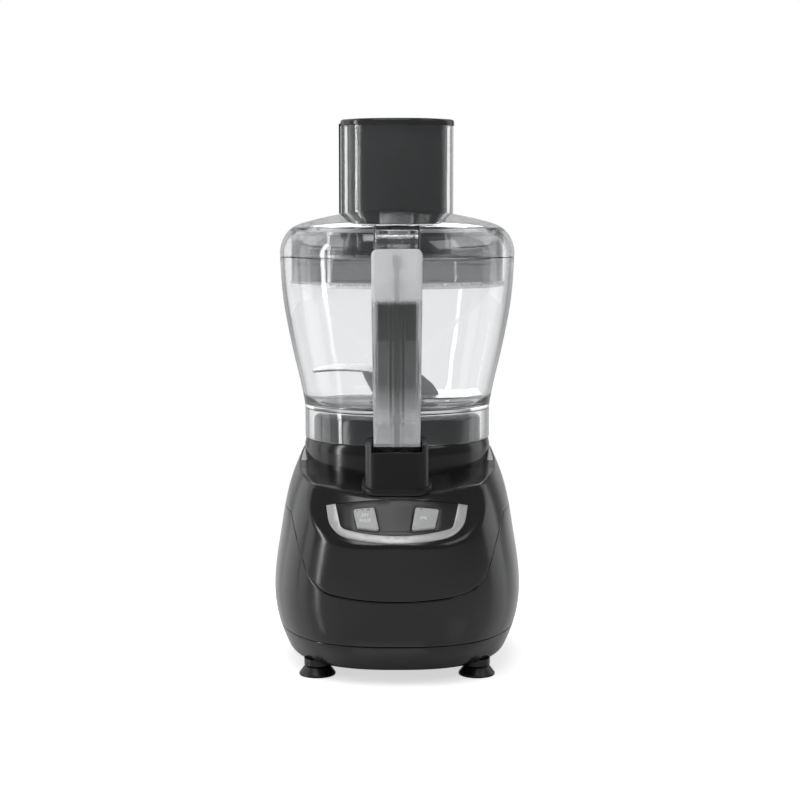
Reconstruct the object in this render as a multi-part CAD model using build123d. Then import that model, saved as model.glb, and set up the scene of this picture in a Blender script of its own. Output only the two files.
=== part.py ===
from build123d import *
import math
import os

# Food processor with a clear work bowl, modelled in millimetres, +Z up, front towards -Y.
# Every piece is drawn about the drive spindle's axis, and moved at export so that the origin
# is the middle of the footprint on the table.

# ---- Outer form of the base -------------------------------------------------------------
# Height above the table, half width, reach to the front, reach to the back, squareness of the plan.
BASE_STATIONS = [
    (9.0, 76.2, 103.2, 74.0, 2.6),
    (25.0, 82.7, 114.3, 79.8, 2.6),
    (45.0, 86.8, 121.5, 84.0, 2.6),
    (90.0, 82.5, 125.5, 82.0, 2.6),
    (128.0, 74.6, 122.0, 74.5, 2.3),
    (146.0, 67.2, 112.0, 66.8, 2.0),
]
BASE_BOTTOM = BASE_STATIONS[0][0]
BASE_TOP = BASE_STATIONS[-1][0]
FRONT_REACH = max(station[2] for station in BASE_STATIONS)
BACK_REACH = max(station[3] for station in BASE_STATIONS)
GLAND_STAND = 1.0
FRAME_SHIFT = (FRONT_REACH - BACK_REACH - GLAND_STAND) / 2
OUTLINE_POINTS = 12
WALL = 2.6
SEAM = 0.3
PAN_TOP = 28.5
PAN_FLOOR = 3.0
BACK_SEAM = 110.5

# Bib: the front apron of the top housing, seen from the front. Its foot is a shallow arc.
BIB_BOTTOM = 60.6
BIB_HALF_WIDTH = 54.3
BIB_FLARE = 18.0
BIB_FOOT_R = 279.0
BIB_CORNER = 24.5

# ---- Sloping control deck ----------------------------------------------------------------
DECK_TILT = 49.5
DECK_CROWN = 150.0
DECK_FRONT_HEIGHT = 98.5
DECK_PROFILE = [
    (-5.0, 146.5),
    (-24.0, 139.8),
    (-43.0, 136.8),
    (-62.0, 135.0),
    (-84.0, 131.6),
    (-104.0, 125.8),
    (-130.0, 112.0),
]

# ---- Collar, platform and spindle tower --------------------------------------------------
COLLAR_R = 66.0
COLLAR_TOP = 154.6
COLLAR_FOOT = 122.0
PLATFORM_R = 59.0
PLATFORM_TOP = 172.0
TOWER_R = 8.6
TOWER_TOP = PLATFORM_TOP + 10.0

# ---- Work bowl ---------------------------------------------------------------------------
BOWL_WALL = 2.6
SKIRT_R = 65.7
FLOOR_UNDERSIDE = PLATFORM_TOP + 4.0
FLOOR_THICK = 2.5
BOWL_RIM = 282.5
# Radius and height of the outer wall above the skirt.
BOWL_PROFILE = [
    (66.0, 179.0),
    (69.3, 195.5),
    (73.4, 212.8),
    (77.0, 230.0),
    (80.1, 247.3),
    (82.2, 267.0),
    (83.0, BOWL_RIM),
]
RIM_R = BOWL_PROFILE[-1][0]
TUBE_R = 12.0
TUBE_BORE = 9.6
TUBE_TOP = 206.0

# ---- Handle ------------------------------------------------------------------------------
HANDLE_HALF = 16.4
HANDLE_TOP = 289.0
HANDLE_FRONT_TOP = 122.0
HANDLE_FRONT_LOW = 99.5
HANDLE_LOW = 159.4
HANDLE_DEPTH = 14.8
GRIP_GAP_TOP = 268.0
GRIP_GAP_LOW = 176.0
HANDLE_WALL = 2.4
HANDLE_ROUND = 3.5
HANDLE_LEAN = math.degrees(
    math.atan2(HANDLE_FRONT_TOP - HANDLE_FRONT_LOW, HANDLE_TOP - HANDLE_LOW)
)
FRONT_LEAN = (HANDLE_FRONT_TOP - HANDLE_FRONT_LOW) / (HANDLE_TOP - HANDLE_LOW)
HANDLE_LENGTH = math.hypot(HANDLE_FRONT_TOP - HANDLE_FRONT_LOW, HANDLE_TOP - HANDLE_LOW)
COVER_THICK = 2.0
COVER_HALF = 14.1
COVER_FROM_GAP_LOW = 5.0
COVER_FROM_GAP_TOP = 15.0

# ---- Lid interlock -----------------------------------------------------------------------
TWIST = 20.0
SWITCH_TRAVEL = 5.0
ROD_DEPTH = 8.2
ROD_HALF_X = 2.0
ROD_HALF_Y = 2.5
ROD_HEAD_HALF = 3.0
ROD_HEAD = 8.0
CHANNEL_HALF = 3.3
CHANNEL_RIB = 1.6
CAM_FACE = 285.2
CAM_GAP = 0.3
CAM_HALF_DEPTH = 4.0
CAM_REACH = 13.0
ROD_TIP_Z = 155.2
PLUNGER_R = 2.4
PLUNGER_TOP = 154.2
PLUNGER_TRAVEL = 4.8
PLUNGER_LOW = 107.2
PLUNGER_COLLAR_R = 3.8
PLUNGER_COLLAR = 120.0
SENSOR_HALF = 9.0
SENSOR_LOW = 92.0
SENSOR_TOP = PLUNGER_LOW - 0.2

# ---- Lid, feed chute and pusher ----------------------------------------------------------
LID_WALL = 2.4
LID_EDGE_Z = BOWL_RIM + SEAM
# Radius and height of the lid's outer surface, from its edge to the crown.
LID_PROFILE = [
    (RIM_R, LID_EDGE_Z),
    (82.9, 287.0),
    (81.6, 292.5),
    (78.3, 298.7),
    (73.2, 303.3),
    (64.8, 306.6),
    (44.2, 311.4),
    (22.0, 314.6),
    (0.0, 315.4),
]
LID_SKIRT_R = 75.0
LID_SKIRT_LOW = 262.0
LIP_R = 76.0
LIP_HEIGHT = 4.0
CHUTE_HALF_X = 41.0
CHUTE_HALF_Y = 28.0
CHUTE_Y = 40.5
CHUTE_LOW = 289.5
CHUTE_TOP = 375.7
TAB_HALF = 15.1
TAB_TOP = 305.3
TAB_LOW = HANDLE_TOP + 0.5
TAB_FRONT = 118.5
TAB_WALL = 1.8
PUSHER_GAP = 2.3
PUSHER_WALL = 2.2
PUSHER_LOW = 292.0
PUSHER_RIM = 4.4
PUSHER_RIM_HALF_X = 41.5
PUSHER_RIM_HALF_Y = 28.5
TONGUE_LOW = 312.5
TONGUE_THICK = 1.2
TONGUE_GAP = 0.3
TONGUE_HALF = 4.0
BUSH_R = 11.0
BUSH_LOW = 300.0
BUSH_CAP = 0.8
BUSH_HEADROOM = 0.4
BOSS_WALL = 2.0

# ---- Cutters -----------------------------------------------------------------------------
HUB_R = 15.5
HUB_LOW = FLOOR_UNDERSIDE + 4.0
HUB_TOP = HUB_LOW + 34.0
HUB_FLANGE_R = 19.7
HUB_FLANGE = 4.0
BLADE_THICK = 1.6
LOWER_BLADE_Z = HUB_LOW + 4.2
LOWER_BLADE_PITCH = 18.0
UPPER_BLADE_Z = HUB_LOW + 20.7
UPPER_BLADE_PITCH = -14.0
BLADE_TURN = 8.0
BLADE_TIP = 62.0
BLADE_ROOT = 13.8
ARM_HALF = 4.0
STEM_R = 9.0
DISC_R = 71.0
DISC_Z = 283.0
DISC_THICK = 1.5
DISC_HUB_R = 10.5
DISC_HUB_TOP = 294.3
STEM_TIP_R = 8.3
STEM_TIP_TOP = LID_PROFILE[-1][1] - LID_WALL - BUSH_HEADROOM - BUSH_CAP - 0.2
SLICER_LENGTH = 48.0
SLICER_WIDTH = 7.0
SHRED_ROWS = 4
SHRED_HOLE_R = 1.7

# ---- Running clearances ------------------------------------------------------------------
RUN = 0.05
FREE = 0.3

# ---- Spindle, gears and motor ------------------------------------------------------------
MODULE = 1.25
PRESSURE = 25.0
PINION_TEETH = 12
GEAR_TEETH = 60
BACKLASH = 0.25
TIP_CLEARANCE = 0.3
GEAR_LOW = 119.0
GEAR_THICK = 10.0
SPINDLE_R = 4.0
SPINDLE_LOW = 98.0
UPPER_BUSH_R = 6.4
LOWER_BUSH_R = 7.0
HEX_FLATS = 12.0
HEX_LOW = TOWER_TOP + 0.6
HEX_TOP = HEX_LOW + 30.0
MOTOR_Y = MODULE * (PINION_TEETH + GEAR_TEETH) / 2
SHAFT_R = 3.0
SHAFT_LOW = 22.0
PLATE_TOP = 112.0
PLATE_THICK = 4.0
PLATE_HALF = 46.0
PLATE_POSTS = [(38.0, -26.0), (33.0, 40.0)]
POST_R = 4.5
SCREW_R = 2.0
SCREW_HEAD_R = 3.8
SCREW_HEAD = 2.4
STATOR_LOW = 54.0
STATOR_TOP = 88.0
STATOR_HALF_X = 29.0
STATOR_HALF_Y = 25.0
ARMATURE_R = 16.5
AIR_GAP = 0.5
COIL_OUTER = 24.5
COIL_OVERHANG = 8.0
BRACKET_THICK = 3.0
UPPER_BRACKET = 99.0
LOWER_BRACKET = 24.0
THROUGH_X = 25.0
THROUGH_Y = 20.5
UPPER_BEARING_R = 11.0
LOWER_BEARING_R = 8.0
COMMUTATOR_R = 9.0
COMMUTATOR_LOW = 33.0
COMMUTATOR_TOP = 45.0
FAN_LOW = 94.4
FAN_TOP = 98.4
FAN_R = 15.0
FAN_BLADES = 11

# ---- Feet, fixings and cord entry --------------------------------------------------------
FOOT_X = 54.3
FRONT_FOOT_Y = -76.0
REAR_FOOT_Y = 50.0
FOOT_R = 12.4
FOOT_STEM_R = 4.5
FOOT_PLUG_R = FOOT_STEM_R + 0.8
FOOT_BOSS_R = 9.0
FOOT_BOSS_LOW = 7.0
CASE_POSTS = [(60.0, -48.0), (60.0, 38.0)]
CASE_POST_R = 5.0
SCREW_SEAT = BASE_BOTTOM + 6.0
VENTS = 4
VENT_PITCH = 7.0
VENT_HALF = 14.0
GLAND_Z = 42.0
GLAND_FLANGE = 5.0
GLAND_LENGTH = 21.0
GLAND_R = 8.0
GLAND_FLANGE_R = 10.5
GLAND_BORE_R = 3.6

# ---- Control panel, in the plane of the slope --------------------------------------------
PANEL_TOP = 34.6
PANEL_HALF = 46.9
PANEL_FOOT_HALF = 44.0
PANEL_FOOT = 1.0
PANEL_FOOT_R = 88.0
PANEL_CORNER = 24.0
TRIM_SIDE = 6.3
TRIM_SIDE_FOOT = 7.3
TRIM_FOOT = 5.9
TRIM_CORNER = 6.5
TRIM_RAISE = 0.7
POCKET_DEPTH = 1.2
BUTTON_LEFT = [(-28.9, 28.2), (-25.9, 13.6), (-11.3, 10.4), (-14.9, 28.4)]
BUTTON_RIGHT = [(27.9, 28.0), (24.8, 13.5), (9.4, 10.4), (12.2, 28.4)]
BUTTON_ROUND = 1.6
BUTTON_RAISE = 1.8
BUTTON_BACK = 6.6
BUTTON_FLANGE = 1.2
BUTTON_TRAVEL = 2.5
SWITCH_FACE = 11.2
SWITCH_DEPTH = 6.0
BRACKET_X = (33.0, 36.0)

# ---- Handle dock -------------------------------------------------------------------------
DOCK_HALF = 21.0
DOCK_FRONT = 98.5
DOCK_TOP = 160.0
DOCK_FRONT_TOP = 155.0
DOCK_FLOOR = 151.0
DOCK_SLOT_HALF = 16.9
DOCK_WALL = 3.0
DOCK_ROUND = 9.0
DOCK_FLARE = 2.4
DOCK_SKIRT = 3.0

TINY = 0.01


def tube(outer, inner, low, high, x=0.0, y=0.0):
    """Upright round wall from low to high."""
    return Pos(x, y, (low + high) / 2) * (
        Cylinder(outer, high - low) - Cylinder(inner, high - low + 2)
    )


def rod(radius, low, high, x=0.0, y=0.0):
    return Pos(x, y, (low + high) / 2) * Cylinder(radius, high - low)


def block(x0, x1, y0, y1, z0, z1):
    return Pos((x0 + x1) / 2, (y0 + y1) / 2, (z0 + z1) / 2) * Box(
        x1 - x0, y1 - y0, z1 - z0
    )


def turned(points):
    """Solid turned about the spindle axis from (radius, height) corners."""
    face = make_face(Plane.XZ * Polyline(*points, close=True))
    return revolve(face, Axis.Z)


def upright_oval(half_x, half_y, y, low, high):
    return Pos(0, y, low) * extrude(Ellipse(half_x, half_y), amount=high - low)


def sector(inner, outer, start, end, low, high):
    """Block bounded by two radii and two bearings, in degrees anticlockwise from +X."""
    lines = [
        Line(polar(inner, start), polar(outer, start)),
        ThreePointArc(
            polar(outer, start), polar(outer, (start + end) / 2), polar(outer, end)
        ),
        Line(polar(outer, end), polar(inner, end)),
        ThreePointArc(
            polar(inner, end), polar(inner, (start + end) / 2), polar(inner, start)
        ),
    ]
    return Pos(0, 0, low) * extrude(make_face(lines), amount=high - low)


def polar(radius, degrees):
    turn = math.radians(degrees)
    return (radius * math.cos(turn), radius * math.sin(turn))


# ---- Base shells -------------------------------------------------------------------------
def base_section(station, inset):
    """Closed plan curve of the base at one height, drawn inset millimetres inside the surface."""
    height, half, front, back, power = station
    points = []
    for i in range(OUTLINE_POINTS):
        turn = 2 * math.pi * i / OUTLINE_POINTS
        c, s = math.cos(turn), math.sin(turn)
        x = math.copysign(abs(c) ** (2 / power), c) * (half - inset)
        reach = (back if s > 0 else front) - inset
        y = math.copysign(abs(s) ** (2 / power), s) * reach
        points.append((x, y))
    return Pos(0, 0, height) * make_face(Spline(*points, periodic=True))


def base_form(inset):
    """The whole rounded body of the base, before the deck is cut, inset from the outer surface."""
    return loft([base_section(station, inset) for station in BASE_STATIONS])


def deck_frame():
    """Plane on the panel slope: x to the right, y up the slope, z outwards, origin at the front edge."""
    tilt = math.radians(DECK_TILT)
    return Plane(
        origin=(0, -FRONT_REACH, DECK_FRONT_HEIGHT),
        x_dir=(1, 0, 0),
        z_dir=(0, -math.sin(tilt), math.cos(tilt)),
    )


def crown_drum(inset):
    """Long drum along the slope. Its surface is the crowned panel face, inset millimetres in."""
    length = 6 * FRONT_REACH
    local = Pos(0, 0, -DECK_CROWN) * Rot(90, 0, 0) * Cylinder(DECK_CROWN - inset, length)
    return deck_frame() * local


def above_deck(inset):
    """Everything above the gently falling deck in front of the collar."""
    curve = Spline(*[(y, z - inset) for y, z in DECK_PROFILE])
    start, end = curve @ 0, curve @ 1
    ceiling = BASE_TOP + 40
    roof = Polyline(
        (end.X, end.Y), (end.X, ceiling), (start.X, ceiling), (start.X, start.Y)
    )
    face = make_face(Plane.YZ * (curve + roof))
    return extrude(face, amount=2 * BACK_REACH, both=True)


def sagitta(half, radius):
    """Rise of a circular arc at half its chord's width from the middle."""
    return radius - math.sqrt(radius**2 - half**2)


def bib_region(grow):
    """Space that belongs to the top housing: all above the back seam, and the apron at the front."""
    low = BIB_BOTTOM - grow
    half = BIB_HALF_WIDTH + grow
    top = BASE_TOP + 60
    slope = BIB_FLARE / (BACK_SEAM - BIB_BOTTOM)
    wide = half + slope * (top - low)
    rise = sagitta(half, BIB_FOOT_R)
    corner = half + slope * rise
    foot = ThreePointArc((-corner, low + rise), (0, low), (corner, low + rise))
    sides = Polyline((corner, low + rise), (wide, top), (-wide, top), (-corner, low + rise))
    face = make_face(Plane.XZ * (foot + sides))
    corners = [v for v in face.vertices() if v.Z < low + 2 * rise]
    face = fillet(corners, BIB_CORNER)
    apron = extrude(face, amount=2 * FRONT_REACH)
    crown = block(
        -2 * BACK_REACH,
        2 * BACK_REACH,
        -2 * FRONT_REACH,
        2 * BACK_REACH,
        BACK_SEAM - grow,
        top,
    )
    return apron + crown


def shell_of_base():
    outer = base_form(0) - above_deck(0)
    outer = outer & crown_drum(0)
    inner = base_form(WALL) - above_deck(WALL)
    inner = inner & crown_drum(WALL)
    inner = inner - block(
        -200, 200, -200, 200, BASE_TOP - WALL, BASE_TOP + 50
    )
    return outer, inner


# ---- Housings ----------------------------------------------------------------------------
def four_posts(spots, radius, low, high):
    return [rod(radius, low, high, side * x, y) for x, y in spots for side in (-1, 1)]


def open_u(top, foot, half, low_half, foot_radius, corner):
    """Rounded U in the slope's plane, its foot a shallow arc, its straight top up the slope."""
    rise = sagitta(low_half, foot_radius)
    arc = ThreePointArc((-low_half, foot + rise), (0, foot), (low_half, foot + rise))
    sides = Polyline((low_half, foot + rise), (half, top), (-half, top), (-low_half, foot + rise))
    face = make_face(arc + sides)
    return fillet([v for v in face.vertices() if v.Y < foot + rise + 1], corner)


def panel_outline(grow):
    """Outline of the whole panel and its trim."""
    return open_u(
        PANEL_TOP + grow,
        PANEL_FOOT - grow,
        PANEL_HALF + grow,
        PANEL_FOOT_HALF + grow,
        PANEL_FOOT_R + grow,
        PANEL_CORNER + grow,
    )


def insert_outline(shrink):
    """Outline inside the trim: narrower at the sides and the foot, the same at the top."""
    return open_u(
        PANEL_TOP - shrink,
        PANEL_FOOT + TRIM_FOOT + shrink,
        PANEL_HALF - TRIM_SIDE - shrink,
        PANEL_FOOT_HALF - TRIM_SIDE_FOOT - shrink,
        PANEL_FOOT_R - TRIM_FOOT - shrink,
        TRIM_CORNER - shrink,
    )


def button_outline(corners, grow):
    face = make_face(Polyline(*corners, close=True))
    face = fillet(face.vertices(), BUTTON_ROUND)
    return offset(face, amount=grow, kind=Kind.ARC) if grow else face


def on_slope(face, low, high):
    """Prism through the slope between two distances along its outward normal."""
    return deck_frame() * (Pos(0, 0, low) * extrude(face, amount=high - low))


def under_crown(face, depth_low, depth_high):
    """Prism through the slope whose two ends follow the crowned surface."""
    prism = on_slope(face, -DECK_CROWN / 4, DECK_CROWN / 8)
    return (prism & crown_drum(depth_high)) - crown_drum(depth_low)


def panel_pocket():
    return under_crown(panel_outline(TINY), POCKET_DEPTH, -DECK_CROWN / 8)


def cam_path():
    """Arc that the lid's cam sweeps through the top of the handle as the lid turns."""
    middle = cam_radius()
    return sector(
        middle - CAM_HALF_DEPTH - 2 * FREE,
        middle + CAM_HALF_DEPTH + 2 * FREE,
        -90 - math.degrees((CAM_REACH + 2 * FREE) / middle),
        -90 + 2 * TWIST,
        CAM_FACE - 2 * FREE,
        HANDLE_TOP + 1,
    )


def rod_place():
    """Frame on the handle's lean: z along the grip, y from its front face towards the bowl."""
    return Pos(0, -HANDLE_FRONT_LOW, HANDLE_LOW) * Rot(HANDLE_LEAN, 0, 0)


def lean(y, z):
    """Point in the standing frame for a depth and a height along the grip."""
    turn = math.radians(HANDLE_LEAN)
    return (
        -HANDLE_FRONT_LOW + y * math.cos(turn) - z * math.sin(turn),
        HANDLE_LOW + y * math.sin(turn) + z * math.cos(turn),
    )


def cam_radius():
    """Distance of the rod's head from the spindle axis, at the height of the cam face."""
    turn = math.radians(HANDLE_LEAN)
    along = (CAM_FACE - HANDLE_LOW - ROD_DEPTH * math.sin(turn)) / math.cos(turn)
    return -lean(ROD_DEPTH, along)[0]


def plunger_y():
    turn = math.radians(HANDLE_LEAN)
    along = (ROD_TIP_Z - HANDLE_LOW - ROD_DEPTH * math.sin(turn)) / math.cos(turn)
    return lean(ROD_DEPTH, along)[0]


def make_top_housing(outer, inner, shell):
    body = shell & bib_region(0)
    body = body - rod(COLLAR_R - WALL - 1, BASE_TOP - 2 * WALL, BASE_TOP + WALL)
    lip = COLLAR_R - 1.1
    body += turned([
        (COLLAR_R - WALL - 1, BASE_TOP - WALL),
        (COLLAR_R, BASE_TOP - WALL),
        (COLLAR_R, BASE_TOP + 1),
        (lip, COLLAR_TOP),
        (PLATFORM_R - WALL, COLLAR_TOP),
        (PLATFORM_R - WALL, COLLAR_TOP - WALL),
        (COLLAR_R - WALL - 1, COLLAR_TOP - WALL),
    ])
    apron = tube(COLLAR_R, COLLAR_R - WALL - 1, COLLAR_FOOT, BASE_TOP)
    body += apron & above_deck(WALL)
    body += turned([
        (PLATFORM_R - WALL, COLLAR_TOP - WALL),
        (PLATFORM_R, COLLAR_TOP - WALL),
        (PLATFORM_R, PLATFORM_TOP - 2),
        (PLATFORM_R - 2, PLATFORM_TOP),
        (0, PLATFORM_TOP),
        (0, PLATFORM_TOP - WALL),
        (PLATFORM_R - WALL, PLATFORM_TOP - WALL),
    ])
    body += rod(TOWER_R + 1.5, PLATFORM_TOP - 10, PLATFORM_TOP - WALL)
    body += rod(TOWER_R, PLATFORM_TOP - 10, TOWER_TOP)
    for post in four_posts(PLATE_POSTS, POST_R, PLATE_TOP, PLATFORM_TOP - WALL):
        body += post
    for post in four_posts(CASE_POSTS, CASE_POST_R, PAN_TOP + SEAM, BASE_TOP):
        body += post & inner
    body = body - rod(UPPER_BUSH_R, PLATFORM_TOP - 11, TOWER_TOP + 1)
    for post in four_posts(PLATE_POSTS, SCREW_R, PLATE_TOP - 1, PLATE_TOP + 14):
        body = body - post
    for post in four_posts(CASE_POSTS, SCREW_R, PAN_TOP, PAN_TOP + 14):
        body = body - post
    for bracket in switch_brackets():
        body += bracket & inner
    body = body - panel_pocket()
    for corners in (BUTTON_LEFT, BUTTON_RIGHT):
        opening = button_outline(corners, BUTTON_FLANGE + 2 * FREE)
        body = body - on_slope(opening, -SWITCH_FACE, 2 * WALL)
    body = body - rod(PLUNGER_R + FREE, PLUNGER_COLLAR + 2, COLLAR_TOP, 0, plunger_y())
    return body


def switch_brackets():
    """Ribs under the deck that hold the button switch, and a pair that hold the lid switch."""
    near, far = BRACKET_X
    foot, head = BUTTON_LEFT[2][1], BUTTON_LEFT[0][1]
    ribs = []
    for side in (-1, 1):
        face = Pos(side * (near + far) / 2, (foot + head) / 2) * Rectangle(
            far - near, head - foot
        )
        ribs.append(on_slope(face, -SWITCH_FACE - SWITCH_DEPTH, 0))
        x = side * (SENSOR_HALF + WALL / 2)
        y = plunger_y() + 2
        ribs.append(
            block(x - WALL / 2, x + WALL / 2, y - 4, y + 8, SENSOR_LOW, BASE_TOP)
        )
    return ribs


def rearward(radius, y0, y1):
    """Round bar along Y at the height of the cord entry."""
    return Pos(0, (y0 + y1) / 2, GLAND_Z) * Rot(90, 0, 0) * Cylinder(radius, y1 - y0)


def make_lower_housing(outer, shell):
    """Ring of the lower case between the pan and the top housing."""
    body = shell - bib_region(SEAM)
    body = body & block(-200, 200, -200, 200, PAN_TOP + SEAM, BASE_TOP)
    seat = gland_seat()
    body += rearward(GLAND_FLANGE_R + 2, seat - 5, BACK_REACH) & outer
    body = body - rearward(GLAND_FLANGE_R + FREE, seat, BACK_REACH + 9)
    return body - rearward(GLAND_R + RUN, seat - 20, BACK_REACH)


def gland_seat():
    return BACK_REACH + GLAND_STAND - GLAND_FLANGE


def make_cord_gland():
    """Moulded bush in the back wall, with the bore a supply cord would pass through."""
    seat = gland_seat()
    low = seat + GLAND_FLANGE - GLAND_LENGTH
    collar = rearward(GLAND_FLANGE_R, seat, seat + GLAND_FLANGE)
    collar = chamfer(collar.edges().filter_by(GeomType.CIRCLE).sort_by(Axis.Y)[-1], 1.2)
    stem = rearward(GLAND_R, low, seat)
    nut = rearward(GLAND_FLANGE_R, low + 3, low + 6)
    return collar + stem + nut - rearward(GLAND_BORE_R, low - 1, BACK_REACH + 9)


def foot_spots():
    return [
        (side * FOOT_X, y) for y in (FRONT_FOOT_Y, REAR_FOOT_Y) for side in (-1, 1)
    ]


def make_bottom_pan(outer, inner):
    slab = block(-200, 200, -200, 200, 0, PAN_TOP)
    above_floor = block(-200, 200, -200, 200, BASE_BOTTOM + PAN_FLOOR, PAN_TOP + 1)
    body = (outer & slab) - (inner & above_floor)
    for x, y in foot_spots():
        body += rod(FOOT_BOSS_R, FOOT_BOSS_LOW, BASE_BOTTOM + PAN_FLOOR, x, y)
    for post in four_posts(CASE_POSTS, CASE_POST_R, BASE_BOTTOM + 1, PAN_TOP):
        body += post
    for x, y in foot_spots():
        body = body - rod(FOOT_STEM_R, 0, PAN_TOP, x, y)
        body = body - rod(FOOT_PLUG_R + FREE, BASE_BOTTOM + PAN_FLOOR, PAN_TOP, x, y)
    for post in four_posts(CASE_POSTS, SCREW_R + FREE, 0, PAN_TOP + 1):
        body = body - post
    for post in four_posts(CASE_POSTS, SCREW_HEAD_R + FREE, 0, SCREW_SEAT):
        body = body - post
    for i in range(-VENTS, VENTS + 1):
        slot = block(
            i * VENT_PITCH - 1.5,
            i * VENT_PITCH + 1.5,
            MOTOR_Y - VENT_HALF,
            MOTOR_Y + VENT_HALF,
            0,
            PAN_TOP,
        )
        body = body - slot
    return body


def make_foot(x, y):
    """Rubber suction foot: a cup on the table, a neck, and a plug pressed into the pan's boss."""
    top = BASE_BOTTOM + PAN_FLOOR
    cup = turned([
        (0, 3.4),
        (8.4, 2.4),
        (FOOT_R - 0.9, 0),
        (FOOT_R, 0),
        (FOOT_R, 1.3),
        (FOOT_R - 3.2, 5.2),
        (FOOT_R - 4.6, FOOT_BOSS_LOW - SEAM),
        (FOOT_STEM_R - TINY, FOOT_BOSS_LOW - SEAM),
        (FOOT_STEM_R - TINY, top),
        (FOOT_PLUG_R, top + TINY),
        (FOOT_STEM_R - 1.0, top + 2.6),
        (0, top + 2.6),
    ])
    return Pos(x, y, 0) * cup


def screws(spots, seat, length):
    """Pan-head screws driven upwards, heads below."""
    group = []
    for x, y in spots:
        head = rod(SCREW_HEAD_R, seat - SCREW_HEAD, seat, x, y)
        drive = block(x - 2.4, x + 2.4, y - 0.6, y + 0.6, seat - SCREW_HEAD, seat - 1.2)
        cross = block(x - 0.6, x + 0.6, y - 2.4, y + 2.4, seat - SCREW_HEAD, seat - 1.2)
        head = head - drive - cross
        group.append(head + rod(SCREW_R - TINY, seat, seat + length, x, y))
    return Part() + group


def mirrored(spots):
    return [(side * x, y) for x, y in spots for side in (-1, 1)]


# ---- Dock for the handle -----------------------------------------------------------------
def make_handle_dock():
    body = block(-DOCK_HALF, DOCK_HALF, -DOCK_FRONT, -COLLAR_R + 14, 110, DOCK_TOP)
    corners = body.edges().filter_by(Axis.Z).sort_by(Axis.Y)[:2]
    body = fillet(corners, DOCK_ROUND)
    skirt = block(
        -DOCK_HALF - DOCK_FLARE,
        DOCK_HALF + DOCK_FLARE,
        -DOCK_FRONT - DOCK_FLARE,
        -COLLAR_R + 14,
        110,
        DOCK_FRONT_TOP - 20,
    )
    skirt_corners = skirt.edges().filter_by(Axis.Z).sort_by(Axis.Y)[:2]
    skirt = fillet(skirt_corners, DOCK_ROUND + DOCK_FLARE)
    body += (skirt & above_deck(0)) - above_deck(-DOCK_SKIRT)
    body = body - block(
        -DOCK_SLOT_HALF, DOCK_SLOT_HALF, -DOCK_FRONT + DOCK_WALL, 0, DOCK_FLOOR, 200
    )
    body = body - block(
        -DOCK_SLOT_HALF, DOCK_SLOT_HALF, -200, 0, DOCK_FRONT_TOP, 200
    )
    body = body - rod(COLLAR_R + 0.1, 100, COLLAR_TOP - 1)
    body = body - rod(SKIRT_R + 3 * FREE, 100, DOCK_TOP + 5)
    body = body - block(-14, 14, -DOCK_FRONT + DOCK_WALL, 0, 100, DOCK_FLOOR - WALL)
    guide = rod(PLUNGER_R + 2.5, 110, DOCK_FLOOR - WALL, 0, plunger_y())
    body = (body + guide) - rod(PLUNGER_R + RUN, 0, 300, 0, plunger_y())
    return body & above_deck(0)


# ---- Panel, buttons and switches ---------------------------------------------------------
def make_panel_trim():
    ring = under_crown(panel_outline(0), POCKET_DEPTH, -TRIM_RAISE)
    inside = under_crown(insert_outline(0), POCKET_DEPTH + 1, -TRIM_RAISE - 1)
    top_edge = Pos(0, PANEL_TOP) * Rectangle(2 * PANEL_HALF - 2 * TRIM_SIDE, 2)
    return ring - inside - under_crown(top_edge, POCKET_DEPTH + 1, -TRIM_RAISE - 1)


def make_panel_insert():
    body = under_crown(insert_outline(TINY), POCKET_DEPTH, 0)
    for corners in (BUTTON_LEFT, BUTTON_RIGHT):
        body = body - on_slope(button_outline(corners, FREE), -2 * WALL, 2 * WALL)
    return body


def make_button(corners):
    """Cap with a hidden flange that holds it under the panel, and a stem to the switch."""
    cap = under_crown(button_outline(corners, 0), 2 * WALL, -BUTTON_RAISE)
    middle = (
        sum(c[0] for c in corners) / len(corners),
        sum(c[1] for c in corners) / len(corners),
    )
    flange = on_slope(
        button_outline(corners, BUTTON_FLANGE), -BUTTON_BACK, -BUTTON_BACK + 1.2
    )
    core = on_slope(button_outline(corners, 0), -BUTTON_BACK, -2 * WALL + 3)
    core = core & crown_drum(0)
    stem = on_slope(Pos(*middle) * Circle(3), -SWITCH_FACE + BUTTON_TRAVEL + 0.2, -BUTTON_BACK)
    return cap + core + flange + stem


def make_switch_block():
    """Two momentary switches in one moulded block, with a sprung plunger under each button."""
    foot, head = BUTTON_LEFT[2][1], BUTTON_LEFT[0][1]
    face = Pos(0, (foot + head) / 2) * Rectangle(2 * BRACKET_X[0] - 0.1, head - foot - 2)
    body = on_slope(face, -SWITCH_FACE - SWITCH_DEPTH, -SWITCH_FACE)
    gap = on_slope(
        Pos(0, (foot + head) / 2) * Rectangle(8, head - foot), -SWITCH_FACE - 3, 0
    )
    return body - gap


def make_switch_board():
    foot, head = BUTTON_LEFT[2][1], BUTTON_LEFT[0][1]
    face = Pos(0, (foot + head) / 2) * Rectangle(2 * BRACKET_X[1], head - foot)
    low = -SWITCH_FACE - SWITCH_DEPTH
    return on_slope(face, low - 1.6, low)


def make_interlock_switch():
    y = plunger_y() + 2
    body = block(-SENSOR_HALF, SENSOR_HALF, y - 5, y + 7, SENSOR_LOW, SENSOR_TOP)
    return body - block(-2, 2, y + 3, y + 8, SENSOR_LOW + 3, SENSOR_TOP - 3)


def make_plunger():
    y = plunger_y()
    body = rod(PLUNGER_R, PLUNGER_LOW, PLUNGER_TOP, 0, y)
    return body + rod(PLUNGER_COLLAR_R, PLUNGER_COLLAR - 1.5, PLUNGER_COLLAR, 0, y)


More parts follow.
